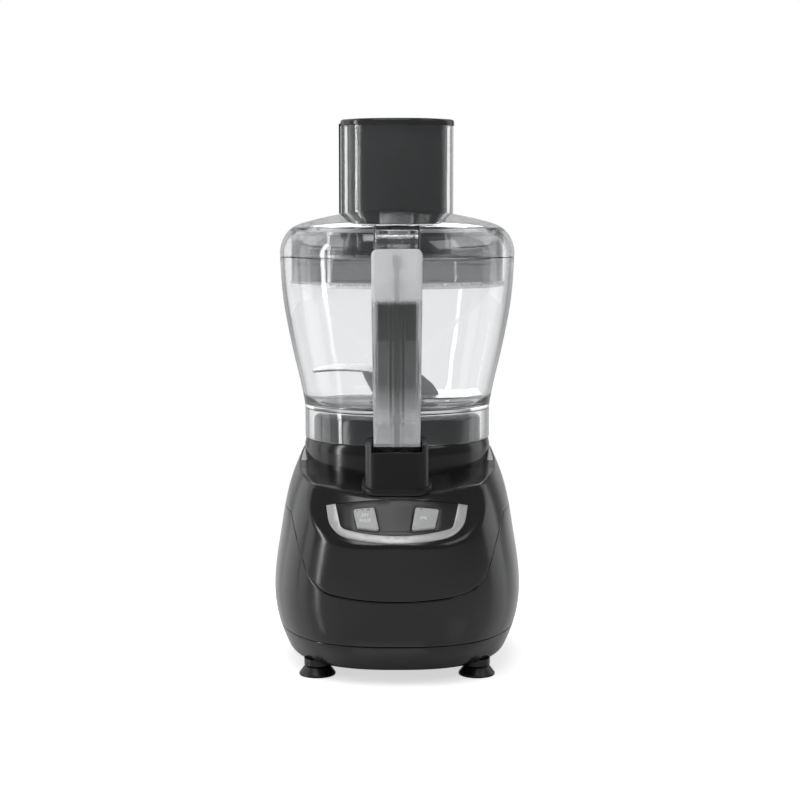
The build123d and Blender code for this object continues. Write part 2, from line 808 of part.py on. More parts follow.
def make_plunger_spring():
    """Coil spring that lifts the plunger when the lid is turned open."""
    low, high = PLUNGER_LOW + 0.6, PLUNGER_COLLAR - 2.1
    path = Helix(pitch=(high - low) / 4, height=high - low, radius=3.3)
    wire = Plane(origin=path @ 0, z_dir=path % 0) * Circle(0.35)
    return Pos(0, plunger_y(), low) * sweep(wire, path=path, is_frenet=True)


# ---- Gears, spindle and bushes -----------------------------------------------------------
def tooth_angle(radius, base, pitch_radius, half_at_pitch):
    """Half angle of an involute tooth at a radius."""
    def involute(r):
        a = math.acos(base / r)
        return math.tan(a) - a

    return half_at_pitch + involute(pitch_radius) - involute(radius)


def spur_gear(teeth, low, high, phase):
    """Straight involute gear about the origin. Phase is the bearing of one tooth's middle."""
    pitch_r = MODULE * teeth / 2
    base = pitch_r * math.cos(math.radians(PRESSURE))
    tip = pitch_r + MODULE
    root = pitch_r - MODULE - TIP_CLEARANCE
    half = math.pi / (2 * teeth) - BACKLASH / (4 * pitch_r)
    start = max(base + TINY, root)
    radii = [start, (start + tip) / 2, tip]
    points = []
    for i in range(teeth):
        middle = math.radians(phase) + 2 * math.pi * i / teeth
        flank = [(r, tooth_angle(r, base, pitch_r, half)) for r in radii]
        rise = [(root, flank[0][1])] + flank if root < start - TINY else flank
        for r, a in rise:
            points.append((r * math.cos(middle - a), r * math.sin(middle - a)))
        for r, a in reversed(rise):
            points.append((r * math.cos(middle + a), r * math.sin(middle + a)))
    return Pos(0, 0, low) * extrude(make_face(Polyline(*points, close=True)), high - low)


def make_drive_gear():
    gear = spur_gear(GEAR_TEETH, GEAR_LOW, GEAR_LOW + GEAR_THICK, 90)
    rim = MODULE * GEAR_TEETH / 2 - MODULE - 5
    waist = tube(rim, 12, GEAR_LOW + GEAR_THICK - 3, GEAR_LOW + GEAR_THICK + 1)
    waist += tube(rim, 12, GEAR_LOW - 1, GEAR_LOW + 3)
    gear = gear - waist + rod(10, GEAR_LOW - 2, GEAR_LOW + GEAR_THICK + 3)
    for i in range(6):
        x, y = polar((rim + 12) / 2, 60 * i)
        gear = gear - rod(5, 0, 300, x, y)
    return gear - rod(SPINDLE_R, 0, 300)


def make_pinion():
    body = spur_gear(PINION_TEETH, GEAR_LOW - 1, GEAR_LOW + GEAR_THICK + 1, 15)
    return Pos(0, MOTOR_Y, 0) * (body - rod(SHAFT_R, 0, 300))


def make_spindle():
    """Ground steel spindle with the hexagon that drives the cutters at its top."""
    shaft = rod(SPINDLE_R, SPINDLE_LOW, HEX_LOW)
    hexagon = RegularPolygon(HEX_FLATS / 2, 6, major_radius=False)
    top = Pos(0, 0, HEX_LOW) * extrude(hexagon, amount=HEX_TOP - HEX_LOW)
    point = turned([
        (0, HEX_LOW),
        (HEX_FLATS, HEX_LOW),
        (HEX_FLATS, HEX_TOP - 6),
        (HEX_FLATS / 2 - 0.6, HEX_TOP),
        (0, HEX_TOP),
    ])
    groove = tube(SPINDLE_R + 1, SPINDLE_R - 0.8, 99.6, 100.8)
    return shaft + (top & point) - groove


def make_spindle_clip():
    ring = tube(6.5, SPINDLE_R - 0.8, 99.6, 100.8)
    return ring - block(-2.4, 2.4, -10, 0, 99, 102)


def make_gear_plate():
    plate = block(
        -PLATE_HALF, PLATE_HALF, -36, MOTOR_Y + 25, PLATE_TOP - PLATE_THICK, PLATE_TOP
    )
    plate = fillet(plate.edges().filter_by(Axis.Z).sort_by(Axis.Y)[:2], 8)
    plate = fillet(plate.edges().filter_by(Axis.Z).sort_by(Axis.Y)[-2:], 20)
    plate += rod(11, 102, GEAR_LOW - 3)
    plate = plate - rod(LOWER_BUSH_R, 100, 130)
    plate = plate - rod(LOWER_BEARING_R, 100, 130, 0, MOTOR_Y)
    for post in four_posts(PLATE_POSTS, SCREW_R + FREE, 100, 130):
        plate = plate - post
    for post in four_posts(through_spots(), SCREW_R, 100, 130):
        plate = plate - post
    return plate


def through_spots():
    return [(THROUGH_X, MOTOR_Y + side * THROUGH_Y) for side in (-1, 1)]


# ---- Motor -------------------------------------------------------------------------------
def make_stator():
    core = block(
        -STATOR_HALF_X,
        STATOR_HALF_X,
        -STATOR_HALF_Y,
        STATOR_HALF_Y,
        STATOR_LOW,
        STATOR_TOP,
    )
    core = fillet(core.edges().filter_by(Axis.Z), 5)
    core = core - rod(ARMATURE_R + AIR_GAP, 0, 200)
    for facing in (0, 180):
        for start in (-62, 42):
            slot = sector(
                ARMATURE_R,
                COIL_OUTER + FREE,
                facing + start - 1,
                facing + start + 21,
                STATOR_LOW - 1,
                STATOR_TOP + 1,
            )
            core = core - slot
    core = Pos(0, MOTOR_Y, 0) * core
    for post in four_posts(through_spots(), SCREW_R + RUN, 0, 200):
        core = core - post
    return core


def make_field_coils():
    """Two saddle windings: legs through the stator's slots, joined by end turns."""
    low, high = STATOR_LOW - COIL_OVERHANG, STATOR_TOP + COIL_OVERHANG - 2
    inner = ARMATURE_R + AIR_GAP + 0.6
    coils = []
    for facing in (0, 180):
        coil = sector(inner, COIL_OUTER, facing - 62, facing + 62, low, high)
        window = sector(
            inner - 1,
            COIL_OUTER + 1,
            facing - 42,
            facing + 42,
            STATOR_LOW - FREE,
            STATOR_TOP + FREE,
        )
        coils.append(Pos(0, MOTOR_Y, 0) * (coil - window))
    return Part() + coils


def bracket(low, bearing_r, boss_r, boss_low, boss_top):
    plate = block(
        -STATOR_HALF_X,
        STATOR_HALF_X,
        -STATOR_HALF_Y,
        STATOR_HALF_Y,
        low,
        low + BRACKET_THICK,
    )
    plate = fillet(plate.edges().filter_by(Axis.Z), 5)
    for i in range(4):
        plate = plate - sector(
            boss_r + 2, STATOR_HALF_Y - 3, 90 * i - 24, 90 * i + 24, low - 1, low + 5
        )
    plate += rod(boss_r, boss_low, boss_top)
    return Pos(0, MOTOR_Y, 0) * (plate - rod(bearing_r, 0, 200))


def make_upper_bracket():
    body = bracket(UPPER_BRACKET, UPPER_BEARING_R, 13, UPPER_BRACKET, 107.4)
    for post in four_posts(through_spots(), 4, STATOR_TOP, PLATE_TOP - PLATE_THICK):
        body += post
    for post in four_posts(through_spots(), SCREW_R + RUN, 0, 200):
        body = body - post
    return body


def make_lower_bracket():
    body = bracket(LOWER_BRACKET, LOWER_BEARING_R, 10.5, LOWER_BRACKET, 31)
    for post in four_posts(through_spots(), 4, LOWER_BRACKET, STATOR_LOW):
        body += post
    for post in four_posts(through_spots(), SCREW_R + RUN, 0, 200):
        body = body - post
    return body


def make_bearings():
    upper = tube(UPPER_BEARING_R, SHAFT_R + RUN, UPPER_BRACKET + 0.4, 106.4, 0, MOTOR_Y)
    lower = tube(LOWER_BEARING_R, SHAFT_R + RUN, LOWER_BRACKET + 1, 30, 0, MOTOR_Y)
    return upper + lower


def make_armature_core():
    core = rod(ARMATURE_R, STATOR_LOW, STATOR_TOP)
    for i in range(12):
        x, y = polar(ARMATURE_R - 2.6, 30 * i)
        core = core - rod(1.7, 0, 200, x, y)
        x, y = polar(ARMATURE_R, 30 * i)
        core = core - Pos(x, y, 70) * Rot(0, 0, 30 * i) * Box(3, 1.0, 100)
    return Pos(0, MOTOR_Y, 0) * (core - rod(SHAFT_R, 0, 200))


def make_armature_windings():
    low = tube(ARMATURE_R - 1, SHAFT_R, STATOR_LOW - 7, STATOR_LOW)
    high = tube(ARMATURE_R - 1, SHAFT_R, STATOR_TOP, STATOR_TOP + 5)
    body = low + high
    for i in range(12):
        x, y = polar(ARMATURE_R - 2.6, 30 * i)
        body += rod(1.45, STATOR_LOW - 2, STATOR_TOP + 2, x, y)
    return Pos(0, MOTOR_Y, 0) * body


def make_commutator():
    return tube(COMMUTATOR_R, SHAFT_R, COMMUTATOR_LOW, COMMUTATOR_TOP, 0, MOTOR_Y)


def make_fan():
    fan = tube(FAN_R, SHAFT_R, FAN_LOW, FAN_LOW + 1)
    fan += tube(6, SHAFT_R, FAN_LOW, FAN_TOP)
    for i in range(FAN_BLADES):
        blade = Pos(0, 0, (FAN_LOW + FAN_TOP) / 2) * Rot(0, 0, 360 * i / FAN_BLADES) * (
            Pos(FAN_R / 2 + 2.5, 0, 0) * Box(FAN_R - 5.4, 1.2, FAN_TOP - FAN_LOW)
        )
        fan += blade
    return Pos(0, MOTOR_Y, 0) * fan


def make_brushes():
    group = []
    for side in (-1, 1):
        near, far = COMMUTATOR_R + 0.1, COMMUTATOR_R + 14
        group.append(
            block(*sorted((side * near, side * far)), MOTOR_Y - 2.5, MOTOR_Y + 2.5, 36, 41)
        )
    return Part() + group


def make_brush_holders():
    """Brass boxes that guide the carbon brushes, on arms from the lower bracket."""
    group = []
    for side in (-1, 1):
        near, far = COMMUTATOR_R + 2.5, COMMUTATOR_R + 18
        box = block(
            *sorted((side * near, side * far)), MOTOR_Y - 4, MOTOR_Y + 4, 34.5, 42.5
        )
        box = box - block(
            *sorted((side * (near - 1), side * (far - 1.5))),
            MOTOR_Y - 2.5,
            MOTOR_Y + 2.5,
            36,
            41,
        )
        arm = block(
            *sorted((side * (far - 3), side * far)),
            MOTOR_Y - 4,
            MOTOR_Y + 4,
            LOWER_BRACKET + BRACKET_THICK,
            34.5,
        )
        group.append(box + arm)
    return Part() + group


# ---- Work bowl and handle ----------------------------------------------------------------
def wall_face(profile, thickness):
    """Half section between a spline and the same spline moved inwards."""
    outer = Spline(*profile)
    inner = Spline(*[(r - thickness, z) for r, z in profile])
    foot = Line(inner @ 0, outer @ 0)
    head = Line(outer @ 1, inner @ 1)
    return make_face(Plane.XZ * (outer + head + inner + foot))


def bowl_solid():
    """Everything inside the bowl's outer surface, for trimming the handle."""
    curve = Spline(*BOWL_PROFILE)
    low = FLOOR_UNDERSIDE + 3
    legs = Polyline(
        (RIM_R, BOWL_RIM),
        (0, BOWL_RIM),
        (0, COLLAR_TOP),
        (SKIRT_R, COLLAR_TOP),
        (SKIRT_R, FLOOR_UNDERSIDE),
        (BOWL_PROFILE[0][0], low),
    )
    return revolve(make_face(Plane.XZ * (curve + legs)), Axis.Z)


def make_bowl():
    wall = revolve(wall_face(BOWL_PROFILE, BOWL_WALL), Axis.Z)
    floor_top = FLOOR_UNDERSIDE + FLOOR_THICK
    joint = BOWL_PROFILE[0][1]
    base = turned([
        (SKIRT_R - BOWL_WALL, COLLAR_TOP),
        (SKIRT_R, COLLAR_TOP),
        (SKIRT_R, FLOOR_UNDERSIDE),
        (BOWL_PROFILE[0][0], joint),
        (BOWL_PROFILE[0][0] - BOWL_WALL, joint),
        (BOWL_PROFILE[0][0] - BOWL_WALL - 1.5, floor_top),
        (TUBE_R + 1.5, floor_top),
        (TUBE_R, floor_top + 1.5),
        (TUBE_R, TUBE_TOP),
        (TUBE_BORE, TUBE_TOP),
        (TUBE_BORE, FLOOR_UNDERSIDE),
        (SKIRT_R - BOWL_WALL, FLOOR_UNDERSIDE),
    ])
    return wall + base


def handle_profile(inset):
    """Side view of the C-shaped handle: (distance in front of the spindle, height)."""
    low_end = FRONT_LEAN * (GRIP_GAP_LOW - HANDLE_LOW)
    depth = HANDLE_DEPTH / math.cos(math.radians(HANDLE_LEAN))
    grip_low = HANDLE_FRONT_LOW + low_end - depth
    grip_top = HANDLE_FRONT_LOW + FRONT_LEAN * (GRIP_GAP_TOP - HANDLE_LOW) - depth
    outer = [
        (RIM_R + 1.2, HANDLE_TOP - inset),
        (HANDLE_FRONT_TOP - inset, HANDLE_TOP - inset),
        (HANDLE_FRONT_LOW - inset, HANDLE_LOW + inset),
        (SKIRT_R + 0.6, HANDLE_LOW + inset),
    ]
    inner = [
        (SKIRT_R + 0.6, GRIP_GAP_LOW - inset),
        (grip_low + inset, GRIP_GAP_LOW - inset),
        (grip_top + inset, GRIP_GAP_TOP + inset),
        (RIM_R - 2, GRIP_GAP_TOP + inset),
        (RIM_R - 2, BOWL_RIM - 0.3),
        (RIM_R + 1.2, BOWL_RIM - 0.3),
    ]
    return [(-y, z) for y, z in outer + inner]


def channel_space(low, high):
    """Clear space for the interlock rod along the grip."""
    return rod_place() * block(
        -CHANNEL_HALF, CHANNEL_HALF, ROD_DEPTH - 3.2, ROD_DEPTH + 3.2, low, high
    )


def make_bowl_handle():
    face = make_face(Plane.YZ * Polyline(*handle_profile(0), close=True))
    body = extrude(face, amount=HANDLE_HALF, both=True)
    rounded = [
        e
        for e in body.edges()
        if abs(abs(e.center().X) - HANDLE_HALF) < TINY and e.center().Y < -RIM_R - 3
    ]
    body = fillet(rounded, HANDLE_ROUND)
    draft = make_face(
        Plane.XZ
        * Polyline(
            (-HANDLE_HALF - 0.5, HANDLE_TOP + 5),
            (-HANDLE_HALF + 1.1, HANDLE_LOW - 5),
            (HANDLE_HALF - 1.1, HANDLE_LOW - 5),
            (HANDLE_HALF + 0.5, HANDLE_TOP + 5),
            close=True,
        )
    )
    body = body & extrude(draft, amount=2 * HANDLE_FRONT_TOP)
    body = body - bowl_solid()
    hollow_face = make_face(Plane.YZ * Polyline(*handle_profile(HANDLE_WALL), close=True))
    hollow = extrude(hollow_face, amount=HANDLE_HALF - HANDLE_WALL - 0.8, both=True)
    keep_front = block(-200, 200, -200, -RIM_R - 4, 0, 400)
    low_front = block(-200, 200, -200, -SKIRT_R - 6, 0, GRIP_GAP_LOW + 4)
    hollow = hollow & (keep_front + low_front)
    ribs = channel_walls()
    body = body - (hollow - ribs)
    body = body - channel_space(-20, HANDLE_LENGTH - HANDLE_WALL)
    body = body - cover_opening()
    return body - cam_path()


def channel_walls():
    walls = []
    for side in (-1, 1):
        near = side * CHANNEL_HALF
        far = side * (CHANNEL_HALF + CHANNEL_RIB)
        walls.append(
            rod_place()
            * block(
                *sorted((near, far)), 0, HANDLE_DEPTH - COVER_THICK - SEAM, 0, HANDLE_LENGTH
            )
        )
    return walls[0] + walls[1]


def cover_opening():
    """Opening on the finger side of the grip, closed by the cover."""
    return cover_block(0, HANDLE_DEPTH - COVER_THICK - SEAM, HANDLE_DEPTH + 1)


def cover_block(shrink, near, far):
    half = COVER_HALF - shrink
    turn = math.cos(math.radians(HANDLE_LEAN))
    low = (GRIP_GAP_LOW - HANDLE_LOW) / turn + COVER_FROM_GAP_LOW + shrink
    high = (GRIP_GAP_TOP - HANDLE_LOW) / turn - COVER_FROM_GAP_TOP - shrink
    return rod_place() * block(-half, half, near, far, low, high)


def make_handle_cover():
    return cover_block(0.1, HANDLE_DEPTH - COVER_THICK, HANDLE_DEPTH - 0.3)


def rod_head_slope():
    """Rise of the cam face per millimetre along its arc."""
    return SWITCH_TRAVEL / (math.radians(TWIST) * cam_radius())


def make_interlock_rod():
    """Long slide in the grip. The lid's cam holds it down, and its tip holds the plunger down."""
    turn = math.radians(HANDLE_LEAN)
    top = (CAM_FACE - HANDLE_LOW - ROD_DEPTH * math.sin(turn)) / math.cos(turn) + 2
    low = (ROD_TIP_Z - HANDLE_LOW - ROD_DEPTH * math.sin(turn)) / math.cos(turn)
    near, far = ROD_DEPTH - ROD_HALF_Y, ROD_DEPTH + ROD_HALF_Y
    shaft = block(-ROD_HALF_X, ROD_HALF_X, near, far, low, top)
    head = block(-ROD_HEAD_HALF, ROD_HEAD_HALF, near, far, top - ROD_HEAD - 2, top)
    foot = block(-ROD_HEAD_HALF, ROD_HEAD_HALF, near, far, 14, 20)
    return rod_place() * (shaft + head + foot) - cam_wedge(CAM_GAP, -CAM_REACH * 2)


def cam_wedge(gap, reach):
    """Sloping face under the lid's cam, in front view. It rises away from the rod's far edge."""
    slope = rod_head_slope()
    edge = ROD_HEAD_HALF
    top = HANDLE_TOP + 12
    points = [
        (edge, CAM_FACE - gap),
        (edge + 20 if gap else edge, CAM_FACE - gap - (20 * slope if gap else 0)),
        (edge + 20 if gap else edge, top),
        (reach, top),
        (reach, CAM_FACE - gap + slope * (edge - reach)),
    ]
    if not gap:
        points = points[:1] + points[2:]
    face = make_face(Plane.XZ * Polyline(*points, close=True))
    return extrude(face, amount=2 * HANDLE_FRONT_TOP)


# ---- Lid, chute and pusher ---------------------------------------------------------------
def lid_outer():
    curve = Spline(*LID_PROFILE)
    legs = Polyline((0, LID_PROFILE[-1][1]), (0, LID_EDGE_Z), (RIM_R, LID_EDGE_Z))
    return revolve(make_face(Plane.XZ * (curve + legs)), Axis.Z)


def lid_inner():
    """Space under the dome, one wall thickness inside its outer surface."""
    last = len(LID_PROFILE) - 1
    points = [(RIM_R - LID_WALL, LID_EDGE_Z - 1)]
    for i in range(1, last):
        (r0, z0), (r1, z1) = LID_PROFILE[i - 1], LID_PROFILE[i + 1]
        length = math.hypot(r1 - r0, z1 - z0)
        r, z = LID_PROFILE[i]
        points.append((r + LID_WALL * (z0 - z1) / length, z + LID_WALL * (r1 - r0) / length))
    points.append((0, LID_PROFILE[last][1] - LID_WALL))
    curve = Spline(*points)
    legs = Polyline(points[-1], (0, LID_EDGE_Z - 1), points[0])
    return revolve(make_face(Plane.XZ * (curve + legs)), Axis.Z)


def make_lid():
    """Clear dome with its inner skirt, feed chute, centre boss and handle tab in one moulding."""
    inside = lid_inner()
    body = (lid_outer() + make_tab()) - inside
    skirt = tube(LID_SKIRT_R, LID_SKIRT_R - LID_WALL, LID_SKIRT_LOW, BOWL_RIM + 24)
    lip = turned([
        (LID_SKIRT_R - LID_WALL, LID_SKIRT_LOW),
        (LIP_R, LID_SKIRT_LOW),
        (LIP_R, LID_SKIRT_LOW + LIP_HEIGHT - 1),
        (LID_SKIRT_R, LID_SKIRT_LOW + LIP_HEIGHT),
        (LID_SKIRT_R - LID_WALL, LID_SKIRT_LOW + LIP_HEIGHT),
    ])
    boss = rod(BUSH_R + RUN + BOSS_WALL, BUSH_LOW, LID_PROFILE[-1][1] - 1)
    room = lid_outer() + rod(RIM_R - 1, LID_SKIRT_LOW, LID_EDGE_Z + 1)
    chute = upright_oval(CHUTE_HALF_X, CHUTE_HALF_Y, CHUTE_Y, CHUTE_LOW, CHUTE_TOP)
    mouth = upright_oval(
        CHUTE_HALF_X - LID_WALL, CHUTE_HALF_Y - LID_WALL, CHUTE_Y, 200, CHUTE_TOP + 1
    )
    socket = rod(BUSH_R + RUN, BUSH_LOW - 1, LID_PROFILE[-1][1] - LID_WALL - 0.2)
    body += (skirt + boss) & room
    body += lip
    body += chute
    return body - mouth - socket


def make_tab():
    """Box over the top of the handle, with the cam that presses the interlock rod."""
    middle = cam_radius()
    inward = RIM_R - 12
    box = block(-TAB_HALF, TAB_HALF, -TAB_FRONT, -inward, TAB_LOW, TAB_TOP)
    box = fillet(box.edges().filter_by(Axis.Z).sort_by(Axis.Y)[:2], 4)
    hollow = block(
        -TAB_HALF + TAB_WALL,
        TAB_HALF - TAB_WALL,
        -TAB_FRONT + TAB_WALL,
        -RIM_R - 2,
        TAB_LOW - 1,
        TAB_TOP - TAB_WALL,
    )
    rib = block(-5.4, -3.6, -TAB_FRONT + 1, -RIM_R - 1, TAB_LOW, TAB_TOP - 1)
    cam = sector(
        middle - CAM_HALF_DEPTH,
        middle + CAM_HALF_DEPTH,
        -90 - math.degrees(CAM_REACH / middle),
        -90 + math.degrees(ROD_HEAD_HALF / middle),
        CAM_FACE - 1,
        TAB_TOP - 1,
    )
    cam = cam & cam_wedge(0, -CAM_REACH * 2)
    return (box - hollow) + rib + cam


def make_lid_bush():
    """Cup in the middle of the lid that steadies the top of the cutter stem."""
    top = LID_PROFILE[-1][1] - LID_WALL - BUSH_HEADROOM
    body = rod(BUSH_R, BUSH_LOW, top)
    return body - rod(STEM_TIP_R + RUN, BUSH_LOW - 1, top - BUSH_CAP)


def make_pusher():
    half_x = CHUTE_HALF_X - LID_WALL - PUSHER_GAP
    half_y = CHUTE_HALF_Y - LID_WALL - PUSHER_GAP
    rim_low = CHUTE_TOP + SEAM
    rim_top = rim_low + PUSHER_RIM
    body = upright_oval(half_x, half_y, CHUTE_Y, PUSHER_LOW, rim_low)
    body = chamfer(body.edges().sort_by(Axis.Z)[0], 1.5)
    rim = upright_oval(
        PUSHER_RIM_HALF_X, PUSHER_RIM_HALF_Y, CHUTE_Y, rim_low, rim_top
    )
    rim = fillet(rim.edges().sort_by(Axis.Z)[-1], 1.8)
    outer_x = CHUTE_HALF_X + TONGUE_GAP
    tongue = block(
        -outer_x - TONGUE_THICK,
        -outer_x,
        CHUTE_Y - TONGUE_HALF,
        CHUTE_Y + TONGUE_HALF,
        TONGUE_LOW,
        rim_low + 1.5,
    )
    root = block(
        -outer_x - TONGUE_THICK,
        -outer_x + 6,
        CHUTE_Y - TONGUE_HALF,
        CHUTE_Y + TONGUE_HALF,
        rim_low,
        rim_low + 1.5,
    )
    cup = upright_oval(
        half_x - PUSHER_WALL,
        half_y - PUSHER_WALL,
        CHUTE_Y,
        PUSHER_LOW + PUSHER_WALL,
        rim_top + 1,
    )
    return body + rim + tongue + root - cup


# ---- Cutters -----------------------------------------------------------------------------
def blade(outline, turn, height, pitch):
    """Flat blade of the given outline, pitched about its length and turned to its bearing."""
    flat = extrude(make_face(outline), amount=BLADE_THICK)
    return Rot(0, 0, turn) * (Pos(0, 0, height) * Rot(pitch, 0, 0) * flat)


def make_lower_blade():
    """Broad blade with a square tip, just above the bowl's floor."""
    back = ThreePointArc((BLADE_ROOT, -8), (40, -11), (BLADE_TIP - 1, -7))
    tip = Line((BLADE_TIP - 1, -7), (BLADE_TIP - 2, 6))
    edge = ThreePointArc((BLADE_TIP - 2, 6), (38, 3), (BLADE_ROOT, 8))
    root = Line((BLADE_ROOT, 8), (BLADE_ROOT, -8))
    return blade([back, tip, edge, root], BLADE_TURN, LOWER_BLADE_Z, LOWER_BLADE_PITCH)


def make_upper_blade():
    """Pointed crescent on the other side of the hub, swept back."""
    back = ThreePointArc((BLADE_ROOT, -8), (44, -13), (BLADE_TIP - 1, -1))
    tip = Line((BLADE_TIP - 1, -1), (BLADE_TIP - 2, 2))
    edge = ThreePointArc((BLADE_TIP - 2, 2), (38, -1), (BLADE_ROOT, 8))
    root = Line((BLADE_ROOT, 8), (BLADE_ROOT, -8))
    outline = [back, tip, edge, root]
    return blade(outline, BLADE_TURN + 180, UPPER_BLADE_Z, UPPER_BLADE_PITCH)


def hub_arm(turn, profile):
    """Moulded web that carries a blade's root: (distance from the axis, height), seen side-on."""
    face = make_face(Plane.XZ * Polyline(*profile, close=True))
    return Rot(0, 0, turn) * extrude(face, amount=ARM_HALF, both=True)


def hub_arms():
    """One web under the upper blade, and one over the lower blade."""
    inside = HUB_R - 1
    under = UPPER_BLADE_Z + 0.6
    over = LOWER_BLADE_Z + 0.6
    below_upper = [
        (inside, under - 16.0),
        (HUB_R + 2.0, under - 16.0),
        (HUB_R + 7.5, under - 6.0),
        (HUB_R + 10.0, under),
        (inside, under),
    ]
    above_lower = [
        (inside, over + 14.0),
        (HUB_R + 2.5, over + 13.0),
        (HUB_R + 10.0, over + 6.5),
        (HUB_R + 14.0, over),
        (inside, over),
    ]
    return hub_arm(BLADE_TURN + 180, below_upper) + hub_arm(BLADE_TURN, above_lower)


def make_hub(blades):
    """Moulded hub that drops over the bowl's centre tube and grips the spindle's hexagon."""
    body = turned([
        (0, HUB_LOW),
        (HUB_FLANGE_R, HUB_LOW),
        (HUB_FLANGE_R, HUB_LOW + HUB_FLANGE - 1),
        (HUB_R, HUB_LOW + HUB_FLANGE + 1),
        (HUB_R, HUB_TOP - 4),
        (HUB_R - 4, HUB_TOP),
        (0, HUB_TOP),
    ])
    body += hub_arms()
    body = body - rod(TUBE_R + 2 * FREE, HUB_LOW - 1, TUBE_TOP + 1)
    body = body - rod(TUBE_R + 2.2, HUB_LOW - 1, HUB_LOW + 1)
    hexagon = RegularPolygon(HEX_FLATS / 2 + 0.15, 6, major_radius=False)
    socket = Pos(0, 0, TUBE_TOP) * extrude(hexagon, amount=HEX_TOP + 0.6 - TUBE_TOP)
    body = body - socket
    for steel in blades:
        body = body - steel
    return body


def make_stem():
    stem = rod(STEM_R, HUB_TOP, DISC_HUB_TOP)
    tip = rod(STEM_TIP_R, DISC_HUB_TOP, STEM_TIP_TOP)
    return stem + chamfer(tip.edges().sort_by(Axis.Z)[-1], 0.8)


def make_disc():
    """Steel disc with a raised slicing edge over a slot, and punched shredding teeth."""
    plate = tube(DISC_R, STEM_R, DISC_Z, DISC_Z + DISC_THICK)
    near, far = 18, 18 + SLICER_LENGTH
    slot = block(near, far, -SLICER_WIDTH, 0, DISC_Z - 1, DISC_Z + 5)
    lip = block(near - 1, far + 1, 0, 8, DISC_Z + DISC_THICK, DISC_Z + DISC_THICK + 1.2)
    ramp = chamfer(lip.edges().filter_by(Axis.X).sort_by(Axis.Z)[-2:].sort_by(Axis.Y)[-1], 1.1)
    plate = Rot(0, 0, -60) * (plate - slot + ramp)
    for row in range(SHRED_ROWS):
        radius = 26 + 12 * row
        count = 3 + 2 * row
        for i in range(count):
            x, y = polar(radius, 120 + 150 * i / (count - 1))
            plate = plate - rod(SHRED_HOLE_R, 200, 300, x, y)
    return plate


def make_disc_hub():
    above = tube(DISC_HUB_R, STEM_R, DISC_Z + DISC_THICK, DISC_HUB_TOP - 0.6)
    below = tube(DISC_HUB_R + 3, STEM_R, DISC_Z - 3, DISC_Z)
    return above + below


# ---- Assembly ----------------------------------------------------------------------------
def make_parts():
    outer, inner = shell_of_base()
    shell = outer - inner
    blades = {"lower_blade": make_lower_blade(), "upper_blade": make_upper_blade()}
    parts = {
        "top_housing": make_top_housing(outer, inner, shell),
        "lower_housing": make_lower_housing(outer, shell),
        "bottom_pan": make_bottom_pan(outer, inner),
        "handle_dock": make_handle_dock(),
        "panel_trim": make_panel_trim(),
        "panel_insert": make_panel_insert(),
        "on_button": make_button(BUTTON_RIGHT),
        "off_pulse_button": make_button(BUTTON_LEFT),
        "switch_block": make_switch_block(),
        "switch_board": make_switch_board(),
        "cord_gland": make_cord_gland(),
        "interlock_switch": make_interlock_switch(),
        "interlock_plunger": make_plunger(),
        "plunger_spring": make_plunger_spring(),
        "gear_plate": make_gear_plate(),
        "lower_bush": tube(LOWER_BUSH_R, SPINDLE_R + RUN, 102, GEAR_LOW - 2.5),
        "upper_bush": tube(UPPER_BUSH_R, SPINDLE_R + RUN, PLATFORM_TOP - 10, TOWER_TOP - 2),
        "shaft_seal": tube(UPPER_BUSH_R, SPINDLE_R + RUN, TOWER_TOP - 1.8, TOWER_TOP),
        "spindle": make_spindle(),
        "spindle_clip": make_spindle_clip(),
        "drive_gear": make_drive_gear(),
        "motor_pinion": make_pinion(),
        "armature_shaft": rod(SHAFT_R, SHAFT_LOW, GEAR_LOW + GEAR_THICK + 2, 0, MOTOR_Y),
        "armature_core": make_armature_core(),
        "armature_windings": make_armature_windings(),
        "commutator": make_commutator(),
        "cooling_fan": make_fan(),
        "stator_core": make_stator(),
        "field_coils": make_field_coils(),
        "upper_bracket": make_upper_bracket(),
        "lower_bracket": make_lower_bracket(),
        "motor_bearings": make_bearings(),
        "carbon_brushes": make_brushes(),
        "brush_holders": make_brush_holders(),
        "case_screws": screws(mirrored(CASE_POSTS), SCREW_SEAT, PAN_TOP + 10 - SCREW_SEAT),
        "gear_plate_screws": screws(mirrored(PLATE_POSTS), PLATE_TOP - PLATE_THICK, 16),
        "motor_bolts": screws(mirrored(through_spots()), LOWER_BRACKET, 86),
        "bowl": make_bowl(),
        "bowl_handle": make_bowl_handle(),
        "handle_cover": make_handle_cover(),
        "interlock_rod": make_interlock_rod(),
        "lid": make_lid(),
        "lid_bush": make_lid_bush(),
        "pusher": make_pusher(),
        "blade_hub": make_hub(blades.values()),
        "disc_stem": make_stem(),
        "cutting_disc": make_disc(),
        "disc_hub": make_disc_hub(),
    }
    parts.update(blades)
    names = ("front_left_foot", "front_right_foot", "rear_left_foot", "rear_right_foot")
    for name, (x, y) in zip(names, foot_spots()):
        parts[name] = make_foot(x, y)
    return parts


os.makedirs("parts", exist_ok=True)
for name, part in make_parts().items():
    export_step(Pos(0, FRAME_SHIFT, 0) * part, f"parts/{name}.step")
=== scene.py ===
import math

import bmesh
import bpy
import numpy as np
from mathutils import Matrix, Vector
from mathutils.geometry import delaunay_2d_cdt


